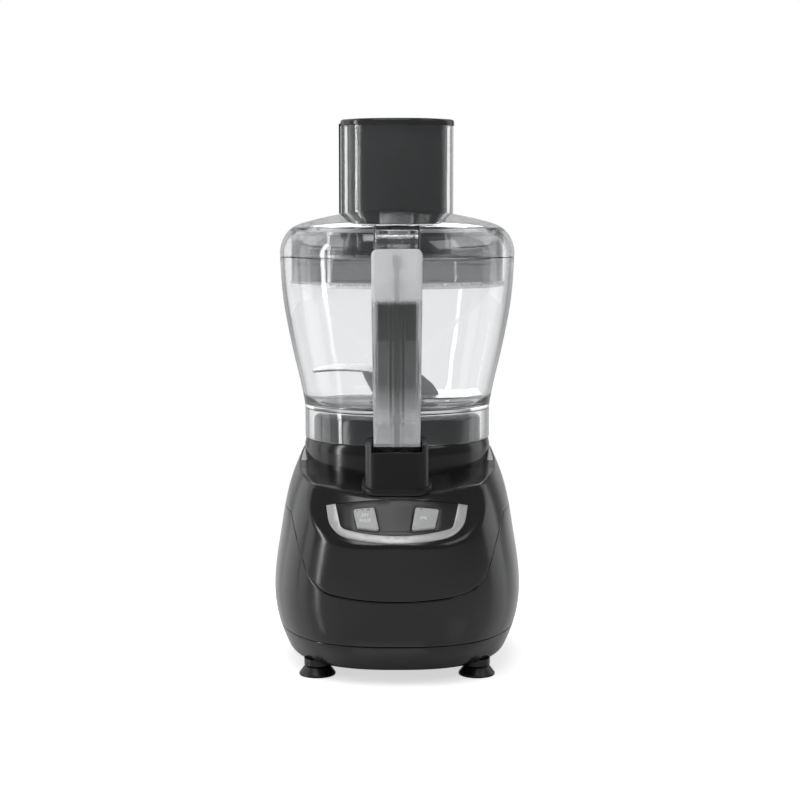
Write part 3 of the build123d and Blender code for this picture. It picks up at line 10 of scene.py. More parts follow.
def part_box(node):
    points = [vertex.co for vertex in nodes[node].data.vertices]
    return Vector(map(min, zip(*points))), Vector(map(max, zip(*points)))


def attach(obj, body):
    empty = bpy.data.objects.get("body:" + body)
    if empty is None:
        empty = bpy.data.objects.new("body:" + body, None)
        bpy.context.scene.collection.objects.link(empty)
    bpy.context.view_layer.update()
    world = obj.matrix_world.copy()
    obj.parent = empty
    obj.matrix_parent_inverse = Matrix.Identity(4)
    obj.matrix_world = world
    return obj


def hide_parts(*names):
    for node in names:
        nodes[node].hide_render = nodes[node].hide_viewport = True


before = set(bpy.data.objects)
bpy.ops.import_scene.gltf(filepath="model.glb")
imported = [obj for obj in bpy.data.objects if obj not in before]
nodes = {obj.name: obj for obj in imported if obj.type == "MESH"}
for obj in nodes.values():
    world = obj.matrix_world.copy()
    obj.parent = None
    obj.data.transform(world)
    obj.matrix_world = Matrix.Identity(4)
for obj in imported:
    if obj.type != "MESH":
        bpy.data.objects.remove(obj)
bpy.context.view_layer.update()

# ---- Camera, floor and light -------------------------------------------------------------
# A studio table for products: pale floor, soft boxes at both sides, above and behind, and an
# even surround. The camera stands a little above the lid, so the deck shows and the lid's rim
# is edge on.


def middle_of(node):
    """Middle of a CAD node's box."""
    low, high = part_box(node)
    return [(a + b) / 2 for a, b in zip(low, high)]


AXIS_Y = middle_of("spindle")[1]
STAND_BACK = 1.1812
CAMERA_HEIGHT = 0.3080
CAMERA_PITCH = math.radians(6.2)
CAMERA_ASIDE = 0.0020
LENS = 74.6


def linked(name, data):
    """New object of the scene around a mesh, lamp, text or camera."""
    made = bpy.data.objects.new(name, data)
    bpy.context.scene.collection.objects.link(made)
    return made


camera_data = bpy.data.cameras.new("camera")
camera_data.lens = LENS
camera_data.sensor_width = 36
camera = linked("camera", camera_data)
camera.location = (CAMERA_ASIDE, AXIS_Y - STAND_BACK, CAMERA_HEIGHT)
camera.rotation_euler = (math.pi / 2 - CAMERA_PITCH, 0, 0)
bpy.context.scene.camera = camera
bpy.context.scene.view_settings.view_transform = "Standard"


def node_adder(tree, family="ShaderNode"):
    """A way to add a node of a tree in one line, with its settings and its inputs set or wired."""

    def add(kind, settings=None, **inputs):
        node = tree.nodes.new(family + kind)
        for name, value in (settings or {}).items():
            setattr(node, name, value)
        for name, value in inputs.items():
            socket = node.inputs[int(name[1:])] if name[0] == "_" else node.inputs[name.replace("_", " ")]
            if isinstance(value, bpy.types.NodeSocket):
                tree.links.new(value, socket)
            else:
                socket.default_value = value
        return node

    return add


def emptied(owner):
    """Node adder for a material or world, once its tree is cleared."""
    owner.use_nodes = True
    owner.node_tree.nodes.clear()
    return node_adder(owner.node_tree)


def new_material(name):
    """Empty material and its node adder."""
    material = bpy.data.materials.new(name)
    return material, emptied(material)


def maths(add, operation, a, b, clamp=False):
    """Result of one arithmetic node."""
    return add("Math", {"operation": operation, "use_clamp": clamp}, _0=a, _1=b).outputs[0]


def seen_directly(add):
    """One for rays from the camera, straight or through a clear piece, that met no surface on the way."""
    path = add("LightPath").outputs
    straight = maths(add, "MAXIMUM", path["Is Camera Ray"], path["Is Transmission Ray"])
    bounces = maths(add, "ADD", path["Glossy Depth"], path["Diffuse Depth"])
    return maths(add, "SUBTRACT", straight, bounces, clamp=True)


world = bpy.data.worlds.new("studio")
bpy.context.scene.world = world
add = emptied(world)
surround = add("Background", Color=(0.96, 0.98, 1.0, 1), Strength=0.22)
backdrop_white = add("Background", Color=(1, 1, 1, 1), Strength=1.0)
path = add("LightPath").outputs
polished = maths(add, "MAXIMUM", path["Is Glossy Ray"], path["Is Transmission Ray"])
toward_back = add("SeparateXYZ", Vector=add("TexCoord").outputs["Generated"]).outputs["Y"]
EASED = {"interpolation_type": "SMOOTHSTEP"}
behind = add("MapRange", EASED, _0=toward_back, _1=0.80, _2=0.92, _3=0.0, _4=0.5).outputs[0]
white_seen = maths(add, "MAXIMUM", seen_directly(add), maths(add, "MULTIPLY", polished, behind))
both = add("MixShader", _0=white_seen, _1=surround.outputs[0], _2=backdrop_white.outputs[0])
add("OutputWorld", Surface=both.outputs[0])

floor_mesh = bpy.data.meshes.new("floor")
FLOOR_HALF = 6.0
floor_corners = [(-1, -1), (1, -1), (1, 1), (-1, 1)]
floor_mesh.from_pydata([(x * FLOOR_HALF, y * FLOOR_HALF, 0) for x, y in floor_corners], [], [(0, 1, 2, 3)])
floor = linked("floor", floor_mesh)
floor_paper, add = new_material("white_paper")
paper = add("BsdfPrincipled", Base_Color=(0.93, 0.93, 0.93, 1), Roughness=0.8)
spot = add("TexCoord").outputs["Object"]
apart = add("VectorMath", {"operation": "LENGTH"}, _0=spot).outputs["Value"]
far_off = add("MapRange", EASED, _0=apart, _1=0.16, _2=0.42, _3=0.0, _4=1.0).outputs[0]
near_glow = add("Emission", Color=(1, 1, 1, 1), Strength=0.62)
near = add("AddShader", _0=paper.outputs[0], _1=near_glow.outputs[0])
sweep = add("Emission", Color=(1, 1, 1, 1), Strength=1.0)
lit = add("MixShader", _0=far_off, _1=near.outputs[0], _2=sweep.outputs[0])
glaze = add("BsdfGlossy", Color=(1, 1, 1, 1), Roughness=0.03)
glazed = add("MixShader", _0=add("Fresnel", IOR=1.7).outputs[0], _1=paper.outputs[0], _2=glaze.outputs[0])
plain = add("MixShader", _0=seen_directly(add), _1=glazed.outputs[0], _2=lit.outputs[0])
add("OutputMaterial", Surface=plain.outputs[0])
floor_mesh.materials.append(floor_paper)

AIM_HEIGHT = 0.19
AIM = Vector((0, AXIS_Y, AIM_HEIGHT))
# Bearing from the front towards the left, elevation, distance, width, height and power.
SOFT_BOXES = {
    "left_strip": (75, 7, 1.20, 0.09, 1.00, 3.6),
    "left_side": (100, 22, 1.20, 0.34, 1.70, 1.9),
    "left_rear": (127, 22, 1.30, 0.78, 1.70, 3.2),
    "right_rear": (-116, 22, 1.40, 0.75, 1.70, 3.4),
    "right_front": (-52, 34, 1.50, 0.60, 0.60, 2.0),
    "overhead": (12, 60, 1.20, 0.80, 0.50, 5.0),
    "rear_top": (180, 44, 1.20, 0.80, 0.40, 3.6),
}
for name, (bearing, rise, distance, wide, high, power) in SOFT_BOXES.items():
    lamp = bpy.data.lights.new(name, "AREA")
    lamp.shape = "RECTANGLE"
    lamp.size = wide
    lamp.size_y = high
    lamp.energy = power
    lamp_object = linked(name, lamp)
    side, up = math.radians(bearing), math.radians(rise)
    away = Vector((-math.sin(side) * math.cos(up), -math.cos(side) * math.cos(up), math.sin(up)))
    lamp_object.location = AIM + away * distance
    lamp_object.rotation_euler = (-away).to_track_quat("-Z", "Y").to_euler()


# ---- Lower housing -----------------------------------------------------------------------
# Black ABS ring of the case, clamped between the bottom pan and the top housing. Its top edge
# dips at the front to let the apron of the top housing come down.
# Height, half width, reach to the front, reach to the back, squareness of the plan, in metres.
CASE_STATIONS = np.array([
    (0.009, 0.0762, 0.1032, 0.0740, 2.6),
    (0.025, 0.0827, 0.1143, 0.0798, 2.6),
    (0.045, 0.0868, 0.1215, 0.0840, 2.6),
    (0.090, 0.0825, 0.1255, 0.0820, 2.6),
    (0.128, 0.0746, 0.1220, 0.0745, 2.3),
    (0.146, 0.0672, 0.1120, 0.0668, 2.0),
])
PAN_SEAM = 0.0285
BACK_SEAM = 0.1105
SEAM_GAP = 0.0002
COLUMNS = 320
WALL = 0.0024


def smooth_through(heights, values, at):
    """Natural cubic spline through a column of stations."""
    n = len(heights)
    gap = np.diff(heights)
    system = np.eye(n)
    right = np.zeros(n)
    for i in range(1, n - 1):
        system[i, i - 1 : i + 2] = gap[i - 1], 2 * (gap[i - 1] + gap[i]), gap[i]
        right[i] = 3 * ((values[i + 1] - values[i]) / gap[i] - (values[i] - values[i - 1]) / gap[i - 1])
    bend = np.linalg.solve(system, right)
    span = np.clip(np.searchsorted(heights, at) - 1, 0, n - 2)
    d = at - heights[span]
    slope = (values[span + 1] - values[span]) / gap[span] - gap[span] * (2 * bend[span] + bend[span + 1]) / 3
    return values[span] + d * (slope + d * (bend[span] + d * (bend[span + 1] - bend[span]) / (3 * gap[span])))


def case_plan(z):
    """Half width, front reach, back reach and squareness of the case at given heights."""
    clipped = np.clip(z, CASE_STATIONS[0, 0], CASE_STATIONS[-1, 0])
    return [smooth_through(CASE_STATIONS[:, 0], CASE_STATIONS[:, k], clipped) for k in range(1, 5)]


DECK_LINE = np.array([
    (-0.1900, 0.0820),
    (-0.1300, 0.1120),
    (-0.1180, 0.1193),
    (-0.1040, 0.1258),
    (-0.0940, 0.1290),
    (-0.0840, 0.1316),
    (-0.0620, 0.1350),
    (-0.0430, 0.1368),
    (-0.0240, 0.1398),
    (-0.0050, 0.1465),
    (0.0050, 0.1470),
    (0.1400, 0.1470),
])
DECK_TILT = math.radians(49.5)
DECK_CROWN = 0.150
SLOPE_FOOT = (-0.1255, 0.0985)
EDGE_SOFT = 0.0016
CRISP_SOFT = 0.0010


def soft_larger(a, b, softness):
    blend = np.maximum(softness - np.abs(a - b), 0) / softness
    return np.maximum(a, b) + blend * blend * softness / 4


def case_depth(p):
    """Signed distance, roughly, from the case's rounded outer surface. Points are from the spindle."""
    x, y, z = p[..., 0], p[..., 1], p[..., 2]
    half, front, back, power = case_plan(z)
    reach = np.where(y < 0, front, back)
    plan = ((np.abs(x) / half) ** power + (np.abs(y) / reach) ** power) ** (1 / power)
    side = (plan - 1) * 0.08
    deck = (z - np.interp(y, DECK_LINE[:, 0], DECK_LINE[:, 1])) * 0.95
    out_y, out_z = -math.sin(DECK_TILT), math.cos(DECK_TILT)
    stand = (y - SLOPE_FOOT[0]) * out_y + (z - SLOPE_FOOT[1]) * out_z
    drum = np.hypot(x, stand + DECK_CROWN) - DECK_CROWN
    floor_side = CASE_STATIONS[0, 0] - z
    top = soft_larger(deck, drum, EDGE_SOFT)
    softness = np.clip((z - 0.116) / 0.012, 0, 1) * (EDGE_SOFT - CRISP_SOFT) + CRISP_SOFT
    return soft_larger(soft_larger(side, top, softness), floor_side, 0.004)


def halved(low, high, beyond, steps=30):
    """Narrows each span between low and high down to where beyond starts to hold."""
    for _ in range(steps):
        middle = (low + high) / 2
        over = beyond(middle)
        high = np.where(over, middle, high)
        low = np.where(over, low, middle)
    return low


def along_rays(start, direction, far=0.3):
    """Points where rays leave the case."""
    shape = direction.shape[:-1]
    reach = halved(
        np.zeros(shape), np.full(shape, far), lambda r: case_depth(start + direction * r[..., None]) > 0, 34
    )
    return start + direction * reach[..., None]


def bearings():
    """Bearings round the case, starting at the back and running anticlockwise from above."""
    return np.linspace(0, 2 * math.pi, COLUMNS, endpoint=False)


def level_ring(z):
    """Outline of the case at a height given for each bearing."""
    turn = bearings()
    direction = np.stack([-np.sin(turn), np.cos(turn), np.zeros(COLUMNS)], -1)
    start = np.stack([np.zeros(COLUMNS), np.zeros(COLUMNS), np.broadcast_to(z, COLUMNS)], -1)
    return along_rays(start, direction)


APRON_BOTTOM = 0.0606
APRON_HALF = 0.0543
APRON_FLARE = 0.0180 / (BACK_SEAM - APRON_BOTTOM)
APRON_FOOT_R = 0.2790
APRON_CORNER = 0.0245


def half_u(foot, corner, top, radius, steps=10):
    """Right half of a rounded U: a foot that rises as an arc, a rounded corner and a leaning side."""
    corner, top = Vector(corner), Vector(top)
    rise = corner.y - foot
    foot_radius = (corner.x**2 + rise**2) / (2 * rise)
    middle = Vector((0, foot + foot_radius))
    along = (top - corner).normalized()
    inward = Vector((-along.y, along.x))
    start = corner + inward * radius - middle
    b, c = start.dot(along), start.dot(start) - (foot_radius - radius) ** 2
    centre = start - along * (b + math.sqrt(b * b - c)) + middle
    first = (centre - middle).normalized()
    on_arc = math.atan2(first.x, -first.y)
    last = math.atan2(-inward.x, inward.y)
    out = [middle + Vector((math.sin(t), -math.cos(t))) * foot_radius for t in np.linspace(0, on_arc, steps)]
    out += [centre + Vector((math.sin(t), -math.cos(t))) * radius for t in np.linspace(on_arc, last, steps)[1:]]
    return out + [top]


apron_rise = APRON_FOOT_R - math.sqrt(APRON_FOOT_R**2 - APRON_HALF**2)
APRON_EDGE = half_u(
    APRON_BOTTOM,
    (APRON_HALF + APRON_FLARE * apron_rise, APRON_BOTTOM + apron_rise),
    (APRON_HALF + APRON_FLARE * (BACK_SEAM - APRON_BOTTOM), BACK_SEAM),
    APRON_CORNER,
    24,
)


def apron_height(x):
    """Height of the apron's edge for a distance from the middle, seen from the front."""
    return np.interp(np.abs(x), [p.x for p in APRON_EDGE], [p.y for p in APRON_EDGE])


def seam_heights():
    """Height of the seam under the top housing for each bearing: the apron at the front, level behind."""

    def above(z):
        ring = level_ring(z)
        return z > np.where(ring[:, 1] < 0, apron_height(ring[:, 0]), BACK_SEAM)

    low = halved(np.full(COLUMNS, APRON_BOTTOM), np.full(COLUMNS, BACK_SEAM), above)
    return np.where(np.cos(bearings()) >= 0, BACK_SEAM, low)


def moved_in(ring, distance):
    """The ring moved towards the spindle by a distance."""
    flat = ring.copy()
    length = np.hypot(ring[:, 0], ring[:, 1])
    share = (length - distance) / length
    flat[:, 0] *= share
    flat[:, 1] *= share
    return flat


def rows_to_object(name, rows, capped=False):
    """Mesh skinned over rows of points, each a ring about the spindle. The last row meets the first,
    or both have a cap."""
    rows = [np.asarray(r, float) for r in rows]
    count = len(rows[0])
    points = np.concatenate(rows) + np.array((0, AXIS_Y, 0))
    faces = []
    total = len(rows)
    for r in range(total - 1 if capped else total):
        a, b = r * count, ((r + 1) % total) * count
        for i in range(count):
            j = (i + 1) % count
            faces.append((a + i, a + j, b + j, b + i))
    if capped:
        faces.append(tuple(range(count))[::-1])
        faces.append(tuple(range((total - 1) * count, total * count)))
    return mesh_object(name, points, faces)


def mesh_object(name, points, faces):
    mesh = bpy.data.meshes.new(name)
    mesh.from_pydata([tuple(p) for p in points], [], faces)
    work = bmesh.new()
    work.from_mesh(mesh)
    bmesh.ops.remove_doubles(work, verts=work.verts, dist=1e-6)
    bmesh.ops.dissolve_degenerate(work, edges=work.edges, dist=1e-7)
    bmesh.ops.recalc_face_normals(work, faces=work.faces)
    work.to_mesh(mesh)
    work.free()
    return linked(name, mesh)


def evaluated_mesh(made):
    """Plain mesh of what an object's modifiers or lettering make."""
    bpy.context.view_layer.update()
    return bpy.data.meshes.new_from_object(made.evaluated_get(bpy.context.evaluated_depsgraph_get()))


def settled(made):
    """Keeps what an object's modifiers make of it as its own mesh."""
    old = made.data
    done = evaluated_mesh(made)
    made.modifiers.clear()
    made.data = done
    bpy.data.meshes.remove(old)
    return made


def smooth_shade(made, angle=32):
    """Smooth shading with hard corners kept sharp."""
    mesh = made.data
    mesh.shade_smooth()
    work = bmesh.new()
    work.from_mesh(mesh)
    for edge in work.edges:
        edge.smooth = len(edge.link_faces) != 2 or edge.calc_face_angle(0) < math.radians(angle)
    work.to_mesh(mesh)
    work.free()
    return made


def noise(add, place, scale, detail, roughness):
    """Value of a noise texture."""
    return add("TexNoise", Vector=place, Scale=scale, Detail=detail, Roughness=roughness).outputs["Fac"]


def blended(add, share, first, second):
    """Colour between two others."""
    return add("MixRGB", Fac=share, Color1=(*first, 1), Color2=(*second, 1)).outputs[0]


def surfaced(material, add, **inputs):
    """The material with a principled shader for its surface."""
    add("OutputMaterial", Surface=add("BsdfPrincipled", **inputs).outputs[0])
    return material


def moulded_plastic(name, colour, roughness, grain=0.02, grain_scale=900.0):
    """Moulded plastic: even colour with a faint cloud in it, fine spark-eroded texture, slight handling marks."""
    material, add = new_material(name)
    place = add("TexCoord").outputs["Object"]
    cloud = noise(add, place, 14.0, 4.0, 0.6)
    shade = blended(add, cloud, [c * 0.92 for c in colour], [min(c * 1.08, 1) for c in colour])
    rub = noise(add, place, 46.0, 6.0, 0.62)
    rough = add("MapRange", _0=rub, _1=0.3, _2=0.75, _3=max(roughness - 0.03, 0.02), _4=roughness + 0.04)
    bump = add("Bump", Strength=grain, Distance=0.0002, Height=noise(add, place, grain_scale, 2.0, 0.5))
    return surfaced(material, add, Base_Color=shade, Roughness=rough.outputs[0], Normal=bump.outputs[0])


def dress(made, body, slot, material, *stands_for):
    """Gives a finished piece its material and body, and hides the CAD nodes it stands for. slot is not used."""
    made.data.materials.clear()
    made.data.materials.append(material)
    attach(made, body)
    if stands_for:
        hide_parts(*stands_for)
    return made


case_black = moulded_plastic("case_black", (0.0100, 0.0100, 0.0105), 0.17, grain=0.02)
seam = seam_heights()
EDGE_ROUND = [(0.0, 0.0006), (0.00012, 0.0003), (0.0004, 0.00008)]
TONGUE = [(0.0, 0.0020), (0.0, 0.0029), (0.0014, 0.0030), (0.0014, 0.0038), (-0.0012, 0.0038), (-0.0016, 0.0030)]


def wall_rows(low_edge, high_edge, count):
    """Rows up the outside, rounded over each edge, and back down the inside of the wall."""
    rounding = EDGE_ROUND + [(0.0009, 0.0)]
    rows = []
    for up, inward in rounding:
        rows.append(moved_in(level_ring(low_edge + up), inward))
    for share in np.linspace(0, 1, count)[1:-1]:
        rows.append(level_ring(low_edge + 0.0009 + (high_edge - low_edge - 0.0018) * share))
    for up, inward in rounding[::-1]:
        rows.append(moved_in(level_ring(high_edge - up), inward))
    for up, inward in TONGUE:
        rows.append(moved_in(level_ring(high_edge + up), inward))
    for share in np.linspace(0.94, 0, 7):
        rows.append(moved_in(level_ring(low_edge + (high_edge - low_edge) * share), WALL))
    return rows


lower_case = rows_to_object("lower_case", wall_rows(PAN_SEAM + SEAM_GAP, seam - SEAM_GAP, 44))


def boolean(made, tool, operation):
    """Cuts or joins with another mesh, which is used up."""
    step = made.modifiers.new("step", "BOOLEAN")
    step.operation = operation
    step.solver = "EXACT"
    step.object = tool
    settled(made)
    bpy.data.objects.remove(tool)


def bar_step(made, operation, radius, start, end, steps=48):
    """Cuts or joins with a round bar between two points."""
    start, end = Vector(start), Vector(end)
    work = bmesh.new()
    length = (end - start).length
    bmesh.ops.create_cone(work, cap_ends=True, segments=steps, radius1=radius, radius2=radius, depth=length)
    spin = (end - start).to_track_quat("Z", "Y").to_matrix().to_4x4()
    work.transform(Matrix.Translation((start + end) / 2) @ spin)
    mesh = bpy.data.meshes.new("bar")
    work.to_mesh(mesh)
    work.free()
    boolean(made, linked("bar", mesh), operation)


gland_low, gland_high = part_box("cord_gland")
GLAND_Z = (gland_low.z + gland_high.z) / 2
GLAND_R = (gland_high.z - gland_low.z) / 2
GLAND_SEAT = gland_high.y - 0.005
GLAND_HOLE_R = 0.00805
for operation, radius, inward, outward in (
    ("UNION", GLAND_R + 0.002, 0.004, 0.0002),
    ("DIFFERENCE", GLAND_R + 0.0003, 0, 0.02),
    ("DIFFERENCE", GLAND_HOLE_R, 0.02, 0.02),
):
    start, end = (0, GLAND_SEAT - inward, GLAND_Z), (0, GLAND_SEAT + outward, GLAND_Z)
    bar_step(lower_case, operation, radius, start, end)
smooth_shade(lower_case)
dress(lower_case, "base", "housing", case_black, "lower_housing")


# ---- Top housing -------------------------------------------------------------------------
# Black ABS deck of the case in one moulding: sloping front apron with the panel pocket, collar
# that the bowl stands on, round platform inside it and the short tower round the spindle.
COLLAR_R = 0.0660
COLLAR_TOP = 0.1546
LAND_R = 0.0649
PLATFORM_R = 0.0590
PLATFORM_TOP = 0.1720
TOWER_R = 0.0086
TOWER_TOP = 0.1820
TOWER_BORE = 0.0066
DECK_ROWS = 96


def surface_below(x, y):
    """Height of the case's top surface under given places."""
    return halved(np.full(x.shape, 0.090), np.full(x.shape, 0.170), lambda z: case_depth(np.stack([x, y, z], -1)) > 0)


turn = bearings()
round_x, round_y = -np.sin(turn), np.cos(turn)
ray_start = np.array((0.0, -0.015, 0.070))


def ring_at(radius, z):
    return np.stack([round_x * radius, round_y * radius, np.broadcast_to(z, COLUMNS).astype(float)], -1)


def deck_rows():
    """Rows over the case from the seam up to the foot of the collar."""
    lower = level_ring(seam + SEAM_GAP + 0.0009)
    foot_z = surface_below(round_x * (COLLAR_R - 0.0002), round_y * (COLLAR_R - 0.0002))
    upper = ring_at(COLLAR_R - 0.0002, foot_z)
    first = lower - ray_start
    last = upper - ray_start
    first /= np.linalg.norm(first, axis=1)[:, None]
    last /= np.linalg.norm(last, axis=1)[:, None]
    angle = np.arccos(np.clip((first * last).sum(1), -1, 1))[:, None]
    rows = []
    for share in np.linspace(0, 1, DECK_ROWS):
        aim = (np.sin((1 - share) * angle) * first + np.sin(share * angle) * last) / np.sin(angle)
        rows.append(along_rays(np.broadcast_to(ray_start, aim.shape), aim))
    rows[-1] = upper
    return rows, foot_z


outer_deck, foot_z = deck_rows()
rows = []
for up, inward in EDGE_ROUND:
    rows.append(moved_in(level_ring(seam + SEAM_GAP + up), inward))
rows += outer_deck
COLLAR_SIDE = [
    (COLLAR_R, 0.147),
    (COLLAR_R, 0.1497),
    (0.0655, 0.1519),
    (LAND_R + 0.0003, 0.1540),
    (LAND_R, 0.1544),
    (LAND_R - 0.0003, COLLAR_TOP),
]
for radius, z in COLLAR_SIDE:
    rows.append(ring_at(radius, np.maximum(z, foot_z + 0.0004)))
PLATFORM_SIDE = [
    (PLATFORM_R + 0.0010, COLLAR_TOP),
    (PLATFORM_R + 0.0003, COLLAR_TOP + 0.0003),
    (PLATFORM_R, COLLAR_TOP + 0.0010),
    (PLATFORM_R, PLATFORM_TOP - 0.0022),
    (PLATFORM_R - 0.0002, PLATFORM_TOP - 0.0017),
    (PLATFORM_R - 0.0016, PLATFORM_TOP - 0.0003),
    (PLATFORM_R - 0.0022, PLATFORM_TOP),
    (0.0400, PLATFORM_TOP),
    (TOWER_R + 0.0010, PLATFORM_TOP),
    (TOWER_R + 0.0003, PLATFORM_TOP + 0.0003),
    (TOWER_R, PLATFORM_TOP + 0.0010),
    (TOWER_R, TOWER_TOP - 0.0006),
    (TOWER_R - 0.0005, TOWER_TOP),
    (TOWER_BORE + 0.0002, TOWER_TOP),
    (TOWER_BORE, TOWER_TOP - 0.0002),
    (TOWER_BORE, 0.1615),
    (0.0100, 0.1615),
    (0.0100, PLATFORM_TOP - WALL),
    (PLATFORM_R - WALL, PLATFORM_TOP - WALL),
    (PLATFORM_R - WALL, COLLAR_TOP - WALL),
    (COLLAR_R - WALL, COLLAR_TOP - WALL),
]
for radius, z in PLATFORM_SIDE:
    rows.append(ring_at(radius, z))
for outer in outer_deck[::-8]:
    toward = ray_start - outer
    toward /= np.linalg.norm(toward, axis=1)[:, None]
    rows.append(outer + toward * WALL * 1.15)
rows.append(moved_in(level_ring(seam + SEAM_GAP), WALL))
top_case = rows_to_object("top_case", rows)

SLOPE_Y = Vector((0, math.cos(DECK_TILT), math.sin(DECK_TILT)))
SLOPE_OUT = Vector((0, -math.sin(DECK_TILT), math.cos(DECK_TILT)))
SLOPE_ORIGIN = Vector((0, AXIS_Y + SLOPE_FOOT[0], SLOPE_FOOT[1]))


def on_slope(x, up, stand, crowned=True):
    """Place on the panel slope: across, up the slope and out from its crowned surface."""
    rise = math.sqrt((DECK_CROWN + stand) ** 2 - x * x) - DECK_CROWN if crowned else stand
    return SLOPE_ORIGIN + Vector((x, 0, 0)) + SLOPE_Y * up + SLOPE_OUT * rise


def rounded_outline(corners, radii, steps=10):
    """Closed polygon, anticlockwise, with each corner rounded by its own radius."""
    points = []
    count = len(corners)
    for i, corner in enumerate(corners):
        here = Vector(corner)
        before = (Vector(corners[i - 1]) - here).normalized()
        after = (Vector(corners[(i + 1) % count]) - here).normalized()
        radius = radii[i] if isinstance(radii, (list, tuple)) else radii
        half = math.acos(max(-1, min(1, before.dot(after)))) / 2
        if radius <= 0:
            points.append(here)
            continue
        reach = radius / math.tan(half)
        centre = here + (before + after).normalized() * (radius / math.sin(half))
        start = here + before * reach - centre
        turn_by = math.pi - 2 * half
        cross = before.x * after.y - before.y * after.x
        turn_by = -turn_by if cross > 0 else turn_by
        for k in range(steps + 1):
            part = turn_by * k / steps
            c, s = math.cos(part), math.sin(part)
            points.append(centre + Vector((start.x * c - start.y * s, start.x * s + start.y * c)))
    return points


def spaced(points, step):
    """The same closed outline with extra points on its long edges."""
    out = []
    for i, a in enumerate(points):
        b = points[(i + 1) % len(points)]
        count = max(1, int(math.ceil((b - a).length / step)))
        out += [a.lerp(b, k / count) for k in range(count)]
    return out


def inset_outline(points, distance):
    """Outline moved to its inner side by a distance. The outline runs anticlockwise."""
    out = []
    count = len(points)
    for i, here in enumerate(points):
        a = (here - points[i - 1]).normalized()
        b = (points[(i + 1) % count] - here).normalized()
        na, nb = Vector((-a.y, a.x)), Vector((-b.y, b.x))
        middle = na + nb
        middle /= max(middle.length_squared / 2, 0.2)
        out.append(here + middle * distance)
    return out


def plate(name, outline, levels, holes=(), place=on_slope, fill_step=0.004):
    """Flat moulding from an outline with holes.

    levels lists pairs of inset and stand, from the underside up over the outer edge to the face.
    place turns across, up and stand into a point of the assembly.
    """
    points, faces = [], []

    def add_ring(ring, stand):
        start = len(points)
        points.extend(place(p.x, p.y, stand) for p in ring)
        return list(range(start, start + len(ring)))

    loops = [(outline, 1)] + [(h, -1) for h in holes]
    bottoms, tops = [], []
    for loop, sign in loops:
        rings = []
        for inset, stand in levels:
            moved = inset_outline(loop, inset * sign)
            rings.append((add_ring(moved, stand), moved))
        for (low, _), (high, _) in zip(rings, rings[1:]):
            for i in range(len(low)):
                j = (i + 1) % len(low)
                quad = (low[i], low[j], high[j], high[i])
                faces.append(quad if sign > 0 else quad[::-1])
        bottoms.append(rings[0])
        tops.append(rings[-1])

    for ends, stand, upward in ((tops, levels[-1][1], True), (bottoms, levels[0][1], False)):
        flat, edges, index = [], [], []
        for ids, ring in ends:
            start = len(flat)
            flat += [Vector((p.x, p.y)) for p in ring]
            index += ids
            edges += [(start + i, start + (i + 1) % len(ring)) for i in range(len(ring))]
        low_x, high_x = min(p.x for p in flat), max(p.x for p in flat)
        low_y, high_y = min(p.y for p in flat), max(p.y for p in flat)
        inner = []
        for gx in np.arange(low_x + fill_step / 2, high_x, fill_step):
            for gy in np.arange(low_y + fill_step / 2, high_y, fill_step):
                spot = Vector((gx, gy))
                if min((spot - p).length_squared for p in flat) > (fill_step * 0.3) ** 2:
                    inner.append(spot)
        verts, _, tris, origins, _, _ = delaunay_2d_cdt(flat + inner, edges, [], 0, 1e-7)
        lookup = {}
        for i, found in enumerate(origins):
            known = [o for o in found if o < len(index)]
            if known:
                lookup[i] = index[known[0]]
        for tri in tris:
            centre = sum((verts[t] for t in tri), Vector((0, 0))) / 3
            if not inside_outline(centre, ends[0][1]) or any(inside_outline(centre, e[1]) for e in ends[1:]):
                continue
            ids = []
            for t in tri:
                if t not in lookup:
                    lookup[t] = len(points)
                    points.append(place(verts[t].x, verts[t].y, stand))
                ids.append(lookup[t])
            faces.append(tuple(ids) if upward else tuple(ids[::-1]))
    return mesh_object(name, points, faces)


def inside_outline(spot, ring):
    inside = False
    for i, b in enumerate(ring):
        a = ring[i - 1]
        if (a.y > spot.y) != (b.y > spot.y):
            cross = (b.x - a.x) * (spot.y - a.y) / (b.y - a.y) + a.x
            if spot.x < cross:
                inside = not inside
    return inside


PANEL_TOP = 0.0346
PANEL_HALF = 0.0469
PANEL_FOOT_HALF = 0.0440
PANEL_FOOT = 0.0010
PANEL_FOOT_R = 0.0880
PANEL_CORNER = 0.0240
POCKET_DEPTH = 0.0012
BUTTON_LEFT = [(-0.0289, 0.0282), (-0.0259, 0.0136), (-0.0113, 0.0104), (-0.0149, 0.0284)]
BUTTON_RIGHT = [(0.0122, 0.0284), (0.0094, 0.0104), (0.0248, 0.0135), (0.0279, 0.0280)]
BUTTON_ROUND = 0.0016


def open_u(foot, low_half, half, top, foot_radius, corner):
    """Whole rounded U from its left top round the foot to its right top."""
    rise = foot_radius - math.sqrt(foot_radius**2 - low_half**2)
    right = half_u(foot, (low_half, foot + rise), (half, top), corner)
    return [Vector((-p.x, p.y)) for p in right[:0:-1]] + right


def panel_outline(grow):
    return open_u(
        PANEL_FOOT - grow,
        PANEL_FOOT_HALF + grow,
        PANEL_HALF + grow,
        PANEL_TOP + grow,
        PANEL_FOOT_R + grow,
        PANEL_CORNER + grow,
    )


